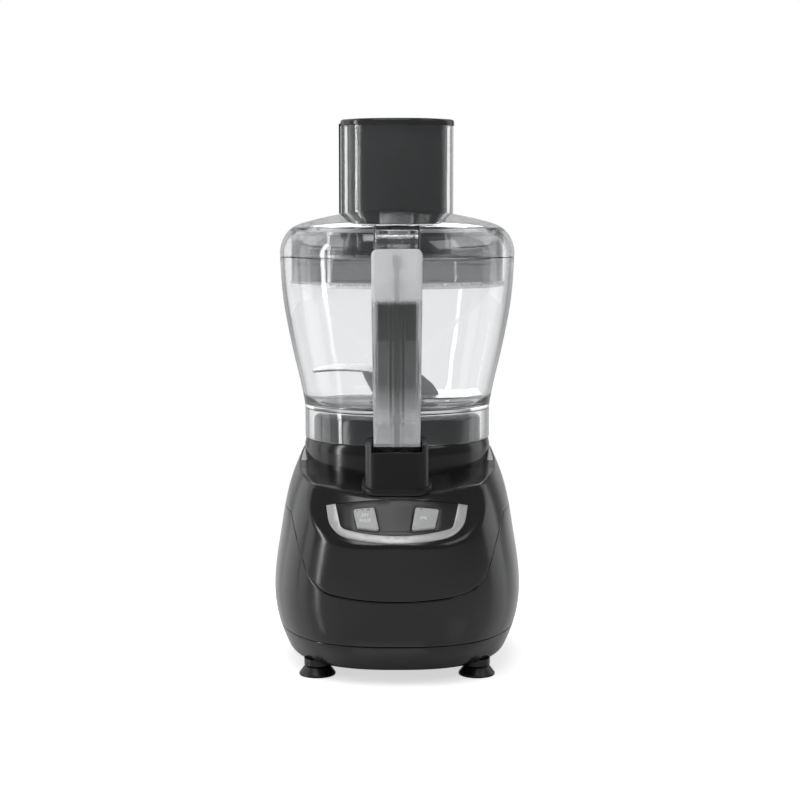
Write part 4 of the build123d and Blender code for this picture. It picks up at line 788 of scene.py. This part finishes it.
pocket = plate("pocket", spaced(panel_outline(0.0001), 0.003), [(0, -POCKET_DEPTH - 0.0003), (0, 0.006)])
boolean(top_case, pocket, "DIFFERENCE")
for button in (BUTTON_LEFT, BUTTON_RIGHT):
    well = plate(
        "well",
        spaced(rounded_outline(button, BUTTON_ROUND), 0.003),
        [(-0.0020, -0.0100), (-0.0020, 0.006)],
        place=lambda x, y, s: on_slope(x, y, s, crowned=False),
    )
    boolean(top_case, well, "DIFFERENCE")
PLUNGER_Y = middle_of("interlock_plunger")[1]
PLUNGER_HOLE_R = 0.0041
bar_step(top_case, "DIFFERENCE", PLUNGER_HOLE_R, (0, PLUNGER_Y, 0.118), (0, PLUNGER_Y, 0.160))
smooth_shade(top_case)
dress(top_case, "base", "housing", case_black, "top_housing")


# ---- Bottom pan --------------------------------------------------------------------------
# Black ABS tray that closes the case from below. It has air slots under the motor, four bosses
# for the rubber feet and four deep screw wells.
PAN_LIP = 0.0285
PAN_BASE = 0.0090
PAN_INSIDE = 0.0120


def turned(name, profile, place, steps, axis=None):
    """Turned shape from a closed or open profile of (radius, height), about an upright axis."""
    points, faces = [], []
    spin = Vector(axis).to_track_quat("Z", "Y").to_matrix() if axis else None
    for k in range(steps):
        angle = 2 * math.pi * k / steps
        for radius, height in profile:
            p = Vector((radius * math.cos(angle), radius * math.sin(angle), height))
            points.append((spin @ p if spin else p) + Vector(place))
    count = len(profile)
    for k in range(steps):
        a, b = k * count, (k + 1) % steps * count
        for i in range(count - 1):
            faces.append((a + i, b + i, b + i + 1, a + i + 1))
    return mesh_object(name, points, faces)


def softened(profile, radius, steps=4):
    """Profile with each inner corner rounded, never by more than two fifths of the run beside it."""
    out = [Vector(profile[0])]
    for i in range(1, len(profile) - 1):
        before, here, after = (Vector(profile[k]) for k in (i - 1, i, i + 1))
        a, b = before - here, after - here
        size = radius[i] if isinstance(radius, (list, tuple)) else radius
        straight = a.normalized().dot(b.normalized())
        if straight < -0.999 or size <= 0:
            out.append(here)
            continue
        half = math.acos(max(-1, min(1, straight))) / 2
        reach = min(size / math.tan(half), a.length * 0.4, b.length * 0.4)
        start, end = here + a.normalized() * reach, here + b.normalized() * reach
        for k in range(steps + 1):
            t = k / steps
            out.append(start * (1 - t) ** 2 + here * 2 * t * (1 - t) + end * t * t)
    out.append(Vector(profile[-1]))
    return out


rows = []
for drop, inward in EDGE_ROUND:
    rows.append(moved_in(level_ring(PAN_LIP - drop), inward))
for share in (0.955, 0.87, 0.76, 0.65, 0.55, 0.46, 0.38, 0.31, 0.25, 0.19, 0.14, 0.095, 0.06, 0.035, 0.015, 0.004):
    rows.append(level_ring(PAN_BASE + (PAN_LIP - PAN_BASE) * share))
last = rows[-1]
for share in (0.985, 0.93, 0.8, 0.5):
    ring = last * share
    ring[:, 2] = PAN_BASE
    rows.append(ring)
inner = []
for share in (0.5, 0.8):
    ring = moved_in(level_ring(PAN_INSIDE + 0.001), WALL) * share
    ring[:, 2] = PAN_INSIDE
    inner.append(ring)
for z in (PAN_INSIDE, 0.016, 0.020, 0.024, PAN_LIP):
    ring = moved_in(level_ring(max(z, PAN_INSIDE + 0.001)), WALL)
    ring[:, 2] = z
    inner.append(ring)
pan = rows_to_object("pan", inner + rows, capped=True)

FOOT_NODES = ["front_left_foot", "front_right_foot", "rear_left_foot", "rear_right_foot"]
FOOT_BOSS_R = 0.0090
FOOT_BORE_R = 0.00455
foot_places = [middle_of(name)[:2] for name in FOOT_NODES]
for x, y in foot_places:
    bar_step(pan, "UNION", FOOT_BOSS_R, (x, y, 0.0070), (x, y, PAN_INSIDE - 0.0005), 64)
    bar_step(pan, "DIFFERENCE", FOOT_BORE_R, (x, y, 0.004), (x, y, 0.020))
MOTOR_Y = middle_of("armature_core")[1]
SLOT_HALF_WIDTH = 0.0015
SLOT_HALF_LENGTH = 0.0140
SLOT_PITCH = 0.007
slot = [(x * SLOT_HALF_WIDTH, y * SLOT_HALF_LENGTH) for x, y in ((-1, -1), (1, -1), (1, 1), (-1, 1))]
for i in range(-4, 5):
    slot_tool = plate(
        "slot",
        rounded_outline(slot, SLOT_HALF_WIDTH - 0.00001, 5),
        [(0, 0.006), (0, 0.016)],
        place=lambda x, y, s, i=i: Vector((x + i * SLOT_PITCH, MOTOR_Y + y, s)),
    )
    boolean(pan, slot_tool, "DIFFERENCE")
SCREW_ASIDE = 0.060
for x, y in [(SCREW_ASIDE, -0.048), (-SCREW_ASIDE, -0.048), (SCREW_ASIDE, 0.038), (-SCREW_ASIDE, 0.038)]:
    for operation, radius, low, high, steps in (
        ("UNION", 0.0050, PAN_INSIDE - 0.0015, PAN_LIP, 48),
        ("DIFFERENCE", 0.0041, 0.003, PAN_BASE + 0.0060, 48),
        ("DIFFERENCE", 0.0023, 0.003, 0.032, 24),
    ):
        bar_step(pan, operation, radius, (x, AXIS_Y + y, low), (x, AXIS_Y + y, high), steps)
smooth_shade(pan)
dress(pan, "base", "housing", case_black, "bottom_pan")

# Black rubber feet, pressed into the bosses. Each has a thin suction lip, a short neck and a
# barbed plug, and the lip is what touches the table.
FOOT_PROFILE = [
    (0.0, 0.0034),
    (0.0084, 0.0024),
    (0.0113, 0.00015),
    (0.0121, 0.0),
    (0.0124, 0.0004),
    (0.0124, 0.0011),
    (0.0119, 0.0019),
    (0.0104, 0.0039),
    (0.0090, 0.0057),
    (0.0079, 0.0066),
    (0.0045, 0.0067),
    (0.0045, 0.0120),
    (0.0052, 0.0121),
    (0.0036, 0.0144),
    (0.0, 0.0145),
]
rubber = moulded_plastic("black_rubber", (0.006, 0.006, 0.006), 0.36, grain=0.12, grain_scale=1600)
for name, (x, y) in zip(FOOT_NODES, foot_places):
    foot = turned(name + "_rubber", softened(FOOT_PROFILE, 0.0008, 3), (x, y, 0.0), 64)
    smooth_shade(foot, 40)
    dress(foot, "base", "foot_rubber", rubber, name)


# ---- Cord inlet --------------------------------------------------------------------------
# Black nylon bush that guards the hole where the mains lead enters at the back. Its flange
# sits in the case's round seat and its tail is held from inside.
gland_y = gland_high.y
GLAND_PROFILE = [
    (0.0036, 0.0),
    (0.0052, 0.0),
    (GLAND_R - 0.0012, 0.0004),
    (GLAND_R, 0.0016),
    (GLAND_R, 0.0050),
    (0.0080, 0.0050),
    (0.0080, 0.0205),
    (0.0075, 0.0210),
    (0.0036, 0.0210),
    (0.0036, 0.0),
]
gland = turned("inlet_bush", softened(GLAND_PROFILE, 0.0006, 3), (0, gland_y, GLAND_Z), 72, axis=(0, -1, 0))
smooth_shade(gland, 40)
nylon_black = moulded_plastic("black_nylon", (0.012, 0.012, 0.012), 0.42, grain=0.08)
dress(gland, "base", "dark_plastic", nylon_black, "cord_gland")


# ---- Motor, gears and switches -----------------------------------------------------------
# Universal motor hung under a cast plate, driving the spindle by a pinion and a large nylon
# gear. Two press switches stand behind the panel and one safety switch waits under the dock.
def bare_metal(name, colour, roughness, streak=(1.0, 1.0, 18.0), scale=60.0, shade=0.14, depth=0.05, metallic=1.0):
    """Metal with a directional grain, slight tarnish and varying polish."""
    material, add = new_material(name)
    place = add("TexCoord").outputs["Object"]
    grain = noise(add, add("Mapping", Vector=place, Scale=streak).outputs[0], scale, 5.0, 0.6)
    tone = blended(add, noise(add, place, 22.0, 3.0, 0.5), [c * (1 - shade) for c in colour], colour)
    rough = add("MapRange", _0=grain, _1=0.3, _2=0.7, _3=max(roughness - 0.07, 0.03), _4=roughness + 0.07).outputs[0]
    bump = add("Bump", Strength=depth, Distance=0.0002, Height=grain).outputs[0]
    return surfaced(material, add, Base_Color=tone, Metallic=metallic, Roughness=rough, Normal=bump)


def banded(name, colour, dark, roughness, metallic, pitch):
    """Stack of sheets or turns of wire, seen as fine bands."""
    material, add = new_material(name)
    band = add(
        "TexWave",
        {"wave_type": "BANDS", "bands_direction": "Z"},
        Vector=add("TexCoord").outputs["Object"],
        Scale=1 / pitch / 3.2,
        Distortion=0.4,
        Detail=1.0,
    ).outputs["Fac"]
    tone = blended(add, band, dark, colour)
    bump = add("Bump", Strength=0.35, Distance=0.0003, Height=band).outputs[0]
    return surfaced(material, add, Base_Color=tone, Metallic=metallic, Roughness=roughness, Normal=bump)


bearing_steel = bare_metal("bearing_steel", (0.56, 0.56, 0.58), 0.24, (1, 1, 30))
screw_steel = bare_metal("screw_steel", (0.52, 0.52, 0.53), 0.34)
spring_steel = bare_metal("spring_steel", (0.48, 0.47, 0.46), 0.30, (1, 1, 1))
cast_aluminium = bare_metal("cast_aluminium", (0.62, 0.63, 0.64), 0.48, (1, 1, 1), 300, 0.1, 0.25)
brass = bare_metal("brass", (0.72, 0.52, 0.22), 0.28)
bronze = bare_metal("bronze", (0.55, 0.36, 0.20), 0.42, (1, 1, 1), 400, 0.2, 0.2)
copper = banded("wound_copper", (0.75, 0.33, 0.17), (0.32, 0.12, 0.06), 0.35, 0.9, 0.0009)
lamination = banded("lamination", (0.34, 0.35, 0.37), (0.12, 0.12, 0.13), 0.42, 0.9, 0.0008)
carbon = moulded_plastic("carbon", (0.02, 0.02, 0.02), 0.55, grain=0.1)
gear_nylon = moulded_plastic("gear_nylon", (0.74, 0.72, 0.66), 0.34, grain=0.03)
board_fibre = moulded_plastic("board_fibre", (0.04, 0.16, 0.07), 0.5, grain=0.05)
inner_plastic = moulded_plastic("inner_plastic", (0.03, 0.03, 0.032), 0.45, grain=0.05)
INNER_FINISHES = [
    (bronze, "lower_bush upper_bush"),
    (rubber, "shaft_seal"),
    (lamination, "stator_core armature_core"),
    (copper, "field_coils armature_windings commutator"),
    (cast_aluminium, "upper_bracket lower_bracket gear_plate"),
    (bearing_steel, "motor_bearings spindle armature_shaft motor_pinion"),
    (carbon, "carbon_brushes"),
    (brass, "brush_holders"),
    (screw_steel, "case_screws gear_plate_screws motor_bolts"),
    (gear_nylon, "drive_gear interlock_plunger"),
    (spring_steel, "spindle_clip plunger_spring"),
    (inner_plastic, "cooling_fan switch_block interlock_switch"),
    (board_fibre, "switch_board"),
]
for finish, names in INNER_FINISHES:
    for name in names.split():
        nodes[name].data.materials.clear()
        nodes[name].data.materials.append(finish)


# ---- Handle dock -------------------------------------------------------------------------
# Black ABS socket clipped to the deck in front of the collar. The foot of the handle
# drops into it and the safety plunger comes up through its floor.
def bevelled_copy(name, node, width, segments=2, limit=38):
    """Copy of a moulded piece with its sharp edges broken."""
    mesh = nodes[node].data.copy()
    mesh.name = name
    made = linked(name, mesh)
    work = bmesh.new()
    work.from_mesh(mesh)
    bmesh.ops.remove_doubles(work, verts=work.verts, dist=2e-6)
    bmesh.ops.dissolve_limit(
        work, angle_limit=math.radians(0.8), verts=work.verts, edges=work.edges, use_dissolve_boundaries=False
    )
    work.to_mesh(mesh)
    work.free()
    step = made.modifiers.new("bevel", "BEVEL")
    step.width = width
    step.segments = segments
    step.limit_method = "ANGLE"
    step.angle_limit = math.radians(limit)
    step.use_clamp_overlap = True
    step.harden_normals = False
    return smooth_shade(settled(made))


dock = bevelled_copy("dock", "handle_dock", 0.0003)
gloss_black = moulded_plastic("gloss_black", (0.007, 0.007, 0.0075), 0.38, grain=0.015)
dress(dock, "base", "dark_plastic", gloss_black, "handle_dock")


# ---- Control panel -----------------------------------------------------------------------
# Satin silver frame open at the top, a plain black field inside it and two grey press buttons
# with white printed words, all seated in the pocket of the sloping deck.
TRIM_SIDE = 0.0063
TRIM_SIDE_FOOT = 0.0073
TRIM_FOOT = 0.0059
TRIM_CORNER = 0.0065


def insert_outline(shrink):
    """Outline of the black field inside the frame."""
    return open_u(
        PANEL_FOOT + TRIM_FOOT + shrink,
        PANEL_FOOT_HALF - TRIM_SIDE_FOOT - shrink,
        PANEL_HALF - TRIM_SIDE - shrink,
        PANEL_TOP - shrink,
        PANEL_FOOT_R - TRIM_FOOT - shrink,
        TRIM_CORNER - shrink,
    )


outer_line = panel_outline(-0.0001)
inner_line = insert_outline(0.0)
trim_line = spaced(outer_line + inner_line[::-1], 0.002)
trim = plate(
    "trim",
    trim_line,
    [(0, -POCKET_DEPTH), (0, 0.00035), (0.00012, 0.00058), (0.00035, 0.00069)],
    fill_step=0.003,
)
smooth_shade(trim, 30)
satin_silver = bare_metal("satin_silver", (0.50, 0.50, 0.495), 0.42, (1.0, 1.0, 1.0), 240, 0.03, 0.0, 0.5)
dress(trim, "base", "silver_trim", satin_silver, "panel_trim")

button_holes = [spaced(rounded_outline(b, BUTTON_ROUND), 0.002) for b in (BUTTON_LEFT, BUTTON_RIGHT)]
field = plate(
    "panel_field",
    spaced(insert_outline(0.0001), 0.002),
    [(0, -POCKET_DEPTH), (0, -0.00022), (0.00015, -0.00005), (0.0003, 0.0)],
    holes=[inset_outline(h, -0.0003) for h in button_holes],
)
smooth_shade(field, 30)
panel_gloss = moulded_plastic("panel_gloss", (0.004, 0.004, 0.0045), 0.34, grain=0.01)
dress(field, "base", "panel_black", panel_gloss, "panel_insert")

INLAY = [(-0.0130, 0.0284), (-0.0098, 0.0104), (0.0080, 0.0104), (0.0105, 0.0284)]
inlay = plate(
    "panel_inlay",
    spaced(rounded_outline(INLAY, 0.0008, 4), 0.002),
    [(0, -0.0002), (0, 0.00012), (0.0001, 0.0002)],
)
smooth_shade(inlay, 30)
inlay_black = moulded_plastic("inlay_black", (0.011, 0.011, 0.0115), 0.36, grain=0.03)
dress(inlay, "base", "panel_black", inlay_black)

button_grey = moulded_plastic("button_grey", (0.50, 0.50, 0.505), 0.45, grain=0.03)
BUTTON_BACK = -0.0040
BUTTON_RAISE = 0.0018
CAP_LEVELS = [
    (0, BUTTON_BACK),
    (0, 0.0009),
    (0.00012, 0.0013),
    (0.00035, 0.0016),
    (0.0008, BUTTON_RAISE - 0.00003),
    (0.0013, BUTTON_RAISE),
]
for name, corners in (("off_pulse_button", BUTTON_LEFT), ("on_button", BUTTON_RIGHT)):
    cap = plate(name + "_cap", spaced(rounded_outline(corners, BUTTON_ROUND), 0.0015), CAP_LEVELS, fill_step=0.003)
    smooth_shade(cap, 34)
    dress(cap, name, "button_grey", button_grey, name)

white_ink = moulded_plastic("white_ink", (0.95, 0.95, 0.95), 0.6, grain=0.0)
INK_FOOT = BUTTON_RAISE + 0.00004
INK_FACE = BUTTON_RAISE + 0.00014
CAPITAL_SHARE = 0.7
LETTER_WIDTH = 0.80
# Word, button it is on, place across and up the slope, height of its capitals.
WORDS = [
    ("OFF", "off_pulse_button", -0.0208, 0.0224, 0.0022),
    ("PULSE", "off_pulse_button", -0.0206, 0.0183, 0.0023),
    ("ON", "on_button", 0.0173, 0.0200, 0.0023),
]
for word, body, x, up, size in WORDS:
    text = bpy.data.curves.new(word, "FONT")
    text.body = word
    text.size = size / CAPITAL_SHARE
    text.align_x = "CENTER"
    text.align_y = "CENTER"
    text.space_character = 1.1
    text.offset = size * 0.075
    letters = linked(word, text)
    flat = evaluated_mesh(letters)
    bpy.data.objects.remove(letters)
    work = bmesh.new()
    work.from_mesh(flat)
    bmesh.ops.triangulate(work, faces=work.faces)
    shape = bmesh.ops.extrude_face_region(work, geom=work.faces[:])
    raised = {v for v in shape["geom"] if isinstance(v, bmesh.types.BMVert)}
    for vertex in work.verts:
        stand = INK_FACE if vertex in raised else INK_FOOT
        vertex.co = on_slope(x + vertex.co.x * LETTER_WIDTH, up + vertex.co.y, stand)
    bmesh.ops.recalc_face_normals(work, faces=work.faces)
    work.to_mesh(flat)
    work.free()
    printed = linked("print_" + word.lower(), flat)
    dress(printed, body, "button_grey", white_ink)
rule_bar = plate(
    "print_rule",
    [Vector(p) for p in [(-0.0228, 0.0206), (-0.0184, 0.0206), (-0.0184, 0.0208), (-0.0228, 0.0208)]],
    [(0, INK_FOOT), (0, INK_FACE - 0.00002)],
)
dress(rule_bar, "off_pulse_button", "button_grey", white_ink)


# ---- Bowl --------------------------------------------------------------------------------
# Clear styrene-acrylonitrile bowl in one moulding: flared wall, floor, standing skirt and the
# tube in the middle that the spindle comes up through.
def clear_plastic(name, tint, roughness, grain, grain_scale=500.0, haze=0.0, frost_and_highlight_colour=None, frost_and_highlight_bands=(), painted_shade=()):
    """Clear moulded plastic. Light passes it straight to what lies behind, so it casts little shadow.

    haze is the share of frosting all over, and the colour after it is that of the frosting and of the bands below.
    The bands list (height it starts, height it is full, share) for frosted lengths of the piece; on the lid one band
    is a painted highlight, a white line along the foot of the skirt.
    The skirt shade gives (low, high, radius, tint) for painted shade: the skirt is tinted darker to stand in for the
    shade and dark reflections seen through it.
    """
    material, add = new_material(name)
    place = add("TexCoord").outputs["Object"]
    ripple = noise(add, place, 30.0, 2.0, 0.45)
    fine = noise(add, place, grain_scale, 3.0, 0.5)
    wavy = add("Bump", Strength=0.03, Distance=0.0008, Height=ripple).outputs[0]
    bump = add("Bump", Strength=grain, Distance=0.0002, Height=fine, Normal=wavy).outputs[0]
    wear = noise(add, place, 70.0, 5.0, 0.6)
    rough = add("MapRange", _0=wear, _1=0.35, _2=0.8, _3=roughness, _4=roughness + 0.03).outputs[0]
    colour = (*tint, 1)
    height = add("SeparateXYZ", Vector=place).outputs["Z"]
    # Painted shade: the skirt's colour is darkened inside a radius and between two heights.
    if painted_shade:
        low, high, reach, shade = painted_shade
        flat = add("VectorMath", {"operation": "MULTIPLY"}, _0=place, _1=(1, 1, 0)).outputs[0]
        apart = add("VectorMath", {"operation": "DISTANCE"}, _0=flat, _1=(0, AXIS_Y, 0)).outputs["Value"]
        near = add("MapRange", _0=apart, _1=reach, _2=reach + 0.0003, _3=1.0, _4=0.0).outputs[0]
        above = add("MapRange", _0=height, _1=low, _2=low + 0.003, _3=0.0, _4=1.0).outputs[0]
        below = add("MapRange", _0=height, _1=high - 0.006, _2=high, _3=1.0, _4=0.0).outputs[0]
        colour = blended(add, maths(add, "MULTIPLY", maths(add, "MULTIPLY", above, below), near), tint, shade)
    result = add(
        "BsdfPrincipled", Base_Color=colour, Transmission_Weight=1.0, IOR=1.49, Roughness=rough, Normal=bump
    )
    if haze:
        frost_and_highlight = add("BsdfPrincipled", Base_Color=(*frost_and_highlight_colour, 1), Roughness=0.5, Normal=bump)
        share = haze
        # Frosted bands by height. On the lid the band is a painted highlight along the skirt's lip.
        for start, full, more in frost_and_highlight_bands:
            speckle = add("MapRange", _0=fine, _3=-0.004, _4=0.004).outputs[0]
            ragged = maths(add, "ADD", height, speckle)
            there = add("MapRange", _0=ragged, _1=start, _2=full, _3=0.0, _4=more).outputs[0]
            share = maths(add, "ADD", share, there)
        result = add("MixShader", _0=share, _1=result.outputs[0], _2=frost_and_highlight.outputs[0])
    passing = add("BsdfTransparent", Color=(*[0.55 + 0.45 * t for t in tint], 1))
    in_shadow = add("LightPath").outputs["Is Shadow Ray"]
    mixed = add("MixShader", _0=in_shadow, _1=result.outputs[0], _2=passing.outputs[0])
    add("OutputMaterial", Surface=mixed.outputs[0])
    return material


CLEAR_TINT = (0.93, 0.935, 0.94)
BOWL_WALL = 0.0026
SKIRT_R = 0.0657
FLOOR_UNDER = 0.1760
FLOOR_THICK = 0.0025
TUBE_R = 0.0120
TUBE_BORE = 0.0096
TUBE_TOP = 0.2060
BOWL_RIM = 0.2825
BOWL_LINE = np.array([
    (0.0660, 0.1790),
    (0.0693, 0.1955),
    (0.0734, 0.2128),
    (0.0770, 0.2300),
    (0.0801, 0.2473),
    (0.0822, 0.2670),
    (0.0830, 0.2825),
])


def fine_line(line, count):
    """Smooth curve through stations of radius and height, by height."""
    heights = np.linspace(line[0, 1], line[-1, 1], count)
    return [Vector((r, z)) for r, z in zip(smooth_through(line[:, 1], line[:, 0], heights), heights)]


def thickened_inwards(line, wall):
    """The same curve one wall nearer the axis, measured square to the wall."""
    out = []
    for i, here in enumerate(line):
        along = line[min(i + 1, len(line) - 1)] - line[max(i - 1, 0)]
        along.normalize()
        out.append(here + Vector((-along.y, along.x)) * wall)
    return out


bowl_outside = fine_line(BOWL_LINE, 44)
bowl_inside = thickened_inwards(bowl_outside, BOWL_WALL)[::-1]
bowl_inside[0] = Vector((bowl_outside[-1].x - BOWL_WALL, BOWL_RIM))
floor_top = FLOOR_UNDER + FLOOR_THICK
lower = softened(
    [
        (TUBE_BORE, FLOOR_UNDER),
        (SKIRT_R - BOWL_WALL, FLOOR_UNDER),
        (SKIRT_R - BOWL_WALL, 0.1546),
        (SKIRT_R, 0.1546),
        (SKIRT_R, FLOOR_UNDER),
        tuple(bowl_outside[0] + Vector((0.0, 0.0008))),
    ],
    [0, 0.0010, 0.0006, 0.0006, 0.0018, 0],
    4,
)
RIM_ROUND = [(0.0001, 0.0004), (0.0006, 0), (BOWL_WALL - 0.0006, 0), (BOWL_WALL, 0.0005)]
rim = [Vector((bowl_outside[-1].x - inward, BOWL_RIM - drop)) for inward, drop in RIM_ROUND]
upper = softened(
    [
        tuple(bowl_inside[-3]),
        (bowl_inside[-1].x - 0.0015, floor_top),
        (TUBE_R, floor_top),
        (TUBE_R, TUBE_TOP),
        (TUBE_BORE, TUBE_TOP),
        (TUBE_BORE, FLOOR_UNDER),
    ],
    [0, 0.0060, 0.0016, 0.0006, 0.0006, 0],
    6,
)
bowl_profile = lower[:-1] + bowl_outside[1:-1] + rim + bowl_inside[1:-3] + upper
bowl = turned("clear_bowl", [(p.x, p.y) for p in bowl_profile], (0, AXIS_Y, 0), 192)
smooth_shade(bowl, 40)
bowl_clear = clear_plastic("bowl_clear", CLEAR_TINT, 0.015, 0.01)
dress(bowl, "bowl", "clear_plastic", bowl_clear, "bowl")


# ---- Handle ------------------------------------------------------------------------------
# Hollow C-shaped grip moulded on the front of the bowl, frosted inside, with two ribs that
# guide the interlock rod. A cover closes it on the finger side.
handle = bevelled_copy("grip", "bowl_handle", 0.0006, 2, 50)
cover_low, cover_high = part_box("handle_cover")
MILKY_HEAD = (cover_high.z - 0.002, cover_high.z + 0.002, 0.36)
MILKY_FOOT = (cover_low.z + 0.018, cover_low.z - 0.004, 0.20)
frosted = clear_plastic(
    "frosted",
    CLEAR_TINT,
    0.10,
    0.12,
    grain_scale=900,
    haze=0.01,
    frost_and_highlight_colour=(0.92, 0.925, 0.93),
    frost_and_highlight_bands=[MILKY_HEAD, MILKY_FOOT],
)
dress(handle, "bowl", "frosted_plastic", frosted, "bowl_handle")
cover = bevelled_copy("grip_cover", "handle_cover", 0.0004, 2, 50)
# The cover is plain dark grey all over. Behind the clear front wall it darkens the middle of the grip.
cover_dark_grey = moulded_plastic("cover_dark_grey", (0.014, 0.014, 0.0145), 0.45, grain=0.3, grain_scale=1500)
dress(cover, "bowl", "frosted_plastic", cover_dark_grey, "handle_cover")

# Black nylon rod that the lid's cam pushes down the grip.
rod = bevelled_copy("cam_rod", "interlock_rod", 0.0003, 2, 50)
dress(rod, "handle_rod", "nylon", nylon_black, "interlock_rod")


# ---- Cutters -----------------------------------------------------------------------------
# Two crescent steel blades pressed in a black hub that drops over the bowl's tube. A stem
# stands on it and carries the slicing and shredding disc just under the lid.
blade_steel = bare_metal("blade_steel", (0.74, 0.75, 0.76), 0.30, (1.0, 14.0, 1.0), 90, 0.08, 0.04, 0.8)
hub = bevelled_copy("hub", "blade_hub", 0.0004, 2, 40)
dress(hub, "cutters", "dark_plastic", nylon_black, "blade_hub")
for name in ("lower_blade", "upper_blade"):
    blade = bevelled_copy(name + "_ground", name, 0.0002, 1, 50)
    dress(blade, "cutters", "blade_steel", blade_steel, name)
stem = bevelled_copy("stem", "disc_stem", 0.0004, 2, 40)
pale_grey = moulded_plastic("pale_grey", (0.36, 0.36, 0.365), 0.38, grain=0.03)
hub.data.materials.append(pale_grey)
HUB_ARMS_FROM = 0.0175
for face in hub.data.polygons:
    if math.hypot(face.center.x, face.center.y - AXIS_Y) > HUB_ARMS_FROM:
        face.material_index = 1
dress(stem, "cutters", "dark_plastic", pale_grey, "disc_stem")
disc_hub = bevelled_copy("disc_collar", "disc_hub", 0.0004, 2, 40)
dress(disc_hub, "cutters", "dark_plastic", pale_grey, "disc_hub")
disc = bevelled_copy("disc", "cutting_disc", 0.0001, 1, 50)
dress(disc, "cutters", "blade_steel", blade_steel, "cutting_disc")


def punched_rows(name, material, **sizes):
    """Teeth in rows on a disc, each row with two more teeth than the row inside it."""
    tree = bpy.data.node_groups.new(name, "GeometryNodeTree")
    sockets = {}
    for label, value in sizes.items():
        kind = "Vector" if isinstance(value, tuple) else "Int" if isinstance(value, int) else "Float"
        socket = tree.interface.new_socket(label, in_out="INPUT", socket_type="NodeSocket" + kind)
        sockets[label] = socket.identifier
    tree.interface.new_socket("Geometry", in_out="OUTPUT", socket_type="NodeSocketGeometry")
    given = tree.nodes.new("NodeGroupInput").outputs
    add = node_adder(tree, "")

    def sums(operation, a, b=0.0, c=0.0):
        return add("ShaderNodeMath", {"operation": operation}, _0=a, _1=b, _2=c).outputs[0]

    number = sums("ADD", add("GeometryNodeInputIndex").outputs[0], 1.0)
    row = sums("FLOOR", sums("SQRT", number))
    place_in_row = sums("SUBTRACT", number, sums("MULTIPLY", row, row))
    share = sums("DIVIDE", place_in_row, sums("MULTIPLY", row, 2.0))
    angle = sums("MULTIPLY_ADD", given["sweep"], share, given["start"])
    radius = sums("MULTIPLY_ADD", given["row_pitch"], sums("SUBTRACT", row, 1.0), given["first_radius"])
    across = sums("MULTIPLY", radius, sums("COSINE", angle))
    along = sums("MULTIPLY", radius, sums("SINE", angle))
    spot = add("ShaderNodeCombineXYZ", X=across, Y=along).outputs[0]
    all_rows = sums("ADD", given["rows"], 1.0)
    count = sums("SUBTRACT", sums("MULTIPLY", all_rows, all_rows), 1.0)
    points = add("GeometryNodePoints", Count=count, Position=spot)
    tooth = add(
        "GeometryNodeMeshCone",
        Vertices=6,
        Radius_Top=given["tip_radius"],
        Radius_Bottom=given["root_radius"],
        Depth=given["height"],
    )
    turned_to = add("ShaderNodeCombineXYZ", Z=angle).outputs[0]
    placed = add(
        "GeometryNodeInstanceOnPoints", Points=points.outputs[0], Instance=tooth.outputs["Mesh"], Rotation=turned_to
    )
    real = add("GeometryNodeRealizeInstances", _0=placed.outputs[0])
    moved = add("GeometryNodeTransform", Geometry=real.outputs[0], Translation=given["centre"])
    finished = add("GeometryNodeSetMaterial", Geometry=moved.outputs[0], Material=material)
    tree.links.new(finished.outputs[0], tree.nodes.new("NodeGroupOutput").inputs[0])

    made = linked(name, bpy.data.meshes.new(name))
    step = made.modifiers.new("rows", "NODES")
    step.node_group = tree
    for label, identifier in sockets.items():
        step[identifier] = sizes[label]
    return settled(made)


TOOTH_HEIGHT = 0.0012
PLATE_TOP = 0.2845
teeth = punched_rows(
    "punched_teeth",
    blade_steel,
    rows=4,
    first_radius=0.0283,
    row_pitch=0.0120,
    start=math.radians(120),
    sweep=math.radians(150),
    root_radius=0.0009,
    tip_radius=0.0003,
    height=TOOTH_HEIGHT,
    centre=(0.0, AXIS_Y, PLATE_TOP - 0.0002),
)
dress(teeth, "cutters", "blade_steel", blade_steel)


# ---- Lid ---------------------------------------------------------------------------------
# Clear dome with a locating skirt that drops inside the bowl, an oval feed chute at the rear,
# a boss for the stem and a box over the top of the handle that holds the interlock cam.
lid = bevelled_copy("clear_lid", "lid", 0.0003, 1, 50)
# Painted highlight: a white frosted band at the foot of the skirt stands in for the bright line along its lip.
PAINTED_LIP_HIGHLIGHT = (0.2646, 0.2638, 0.5)
# Painted shade: the skirt is tinted darker between two heights, for the shade and dark reflections seen through it.
PAINTED_SKIRT_SHADE = (0.262, 0.303, 0.0768, (0.52, 0.52, 0.525))
lid_clear = clear_plastic(
    "lid_clear",
    CLEAR_TINT,
    0.02,
    0.01,
    haze=0.002,
    frost_and_highlight_colour=(0.95, 0.95, 0.95),
    frost_and_highlight_bands=[PAINTED_LIP_HIGHLIGHT],
    painted_shade=PAINTED_SKIRT_SHADE,
)
dress(lid, "lid", "clear_plastic", lid_clear, "lid")
bush = bevelled_copy("stem_bush", "lid_bush", 0.0003, 2, 50)
dress(bush, "lid_centre", "nylon", pale_grey, "lid_bush")


# ---- Pusher ------------------------------------------------------------------------------
# Hollow dark grey plunger that fills the chute. Its rim stops on the chute's mouth and a
# tongue runs down the outside.
pusher = bevelled_copy("food_pusher", "pusher", 0.0003, 2, 50)
pusher_grey = moulded_plastic("pusher_dark_grey", (0.030, 0.030, 0.0305), 0.16, grain=0.006)
dress(pusher, "pusher", "pusher_grey", pusher_grey, "pusher")
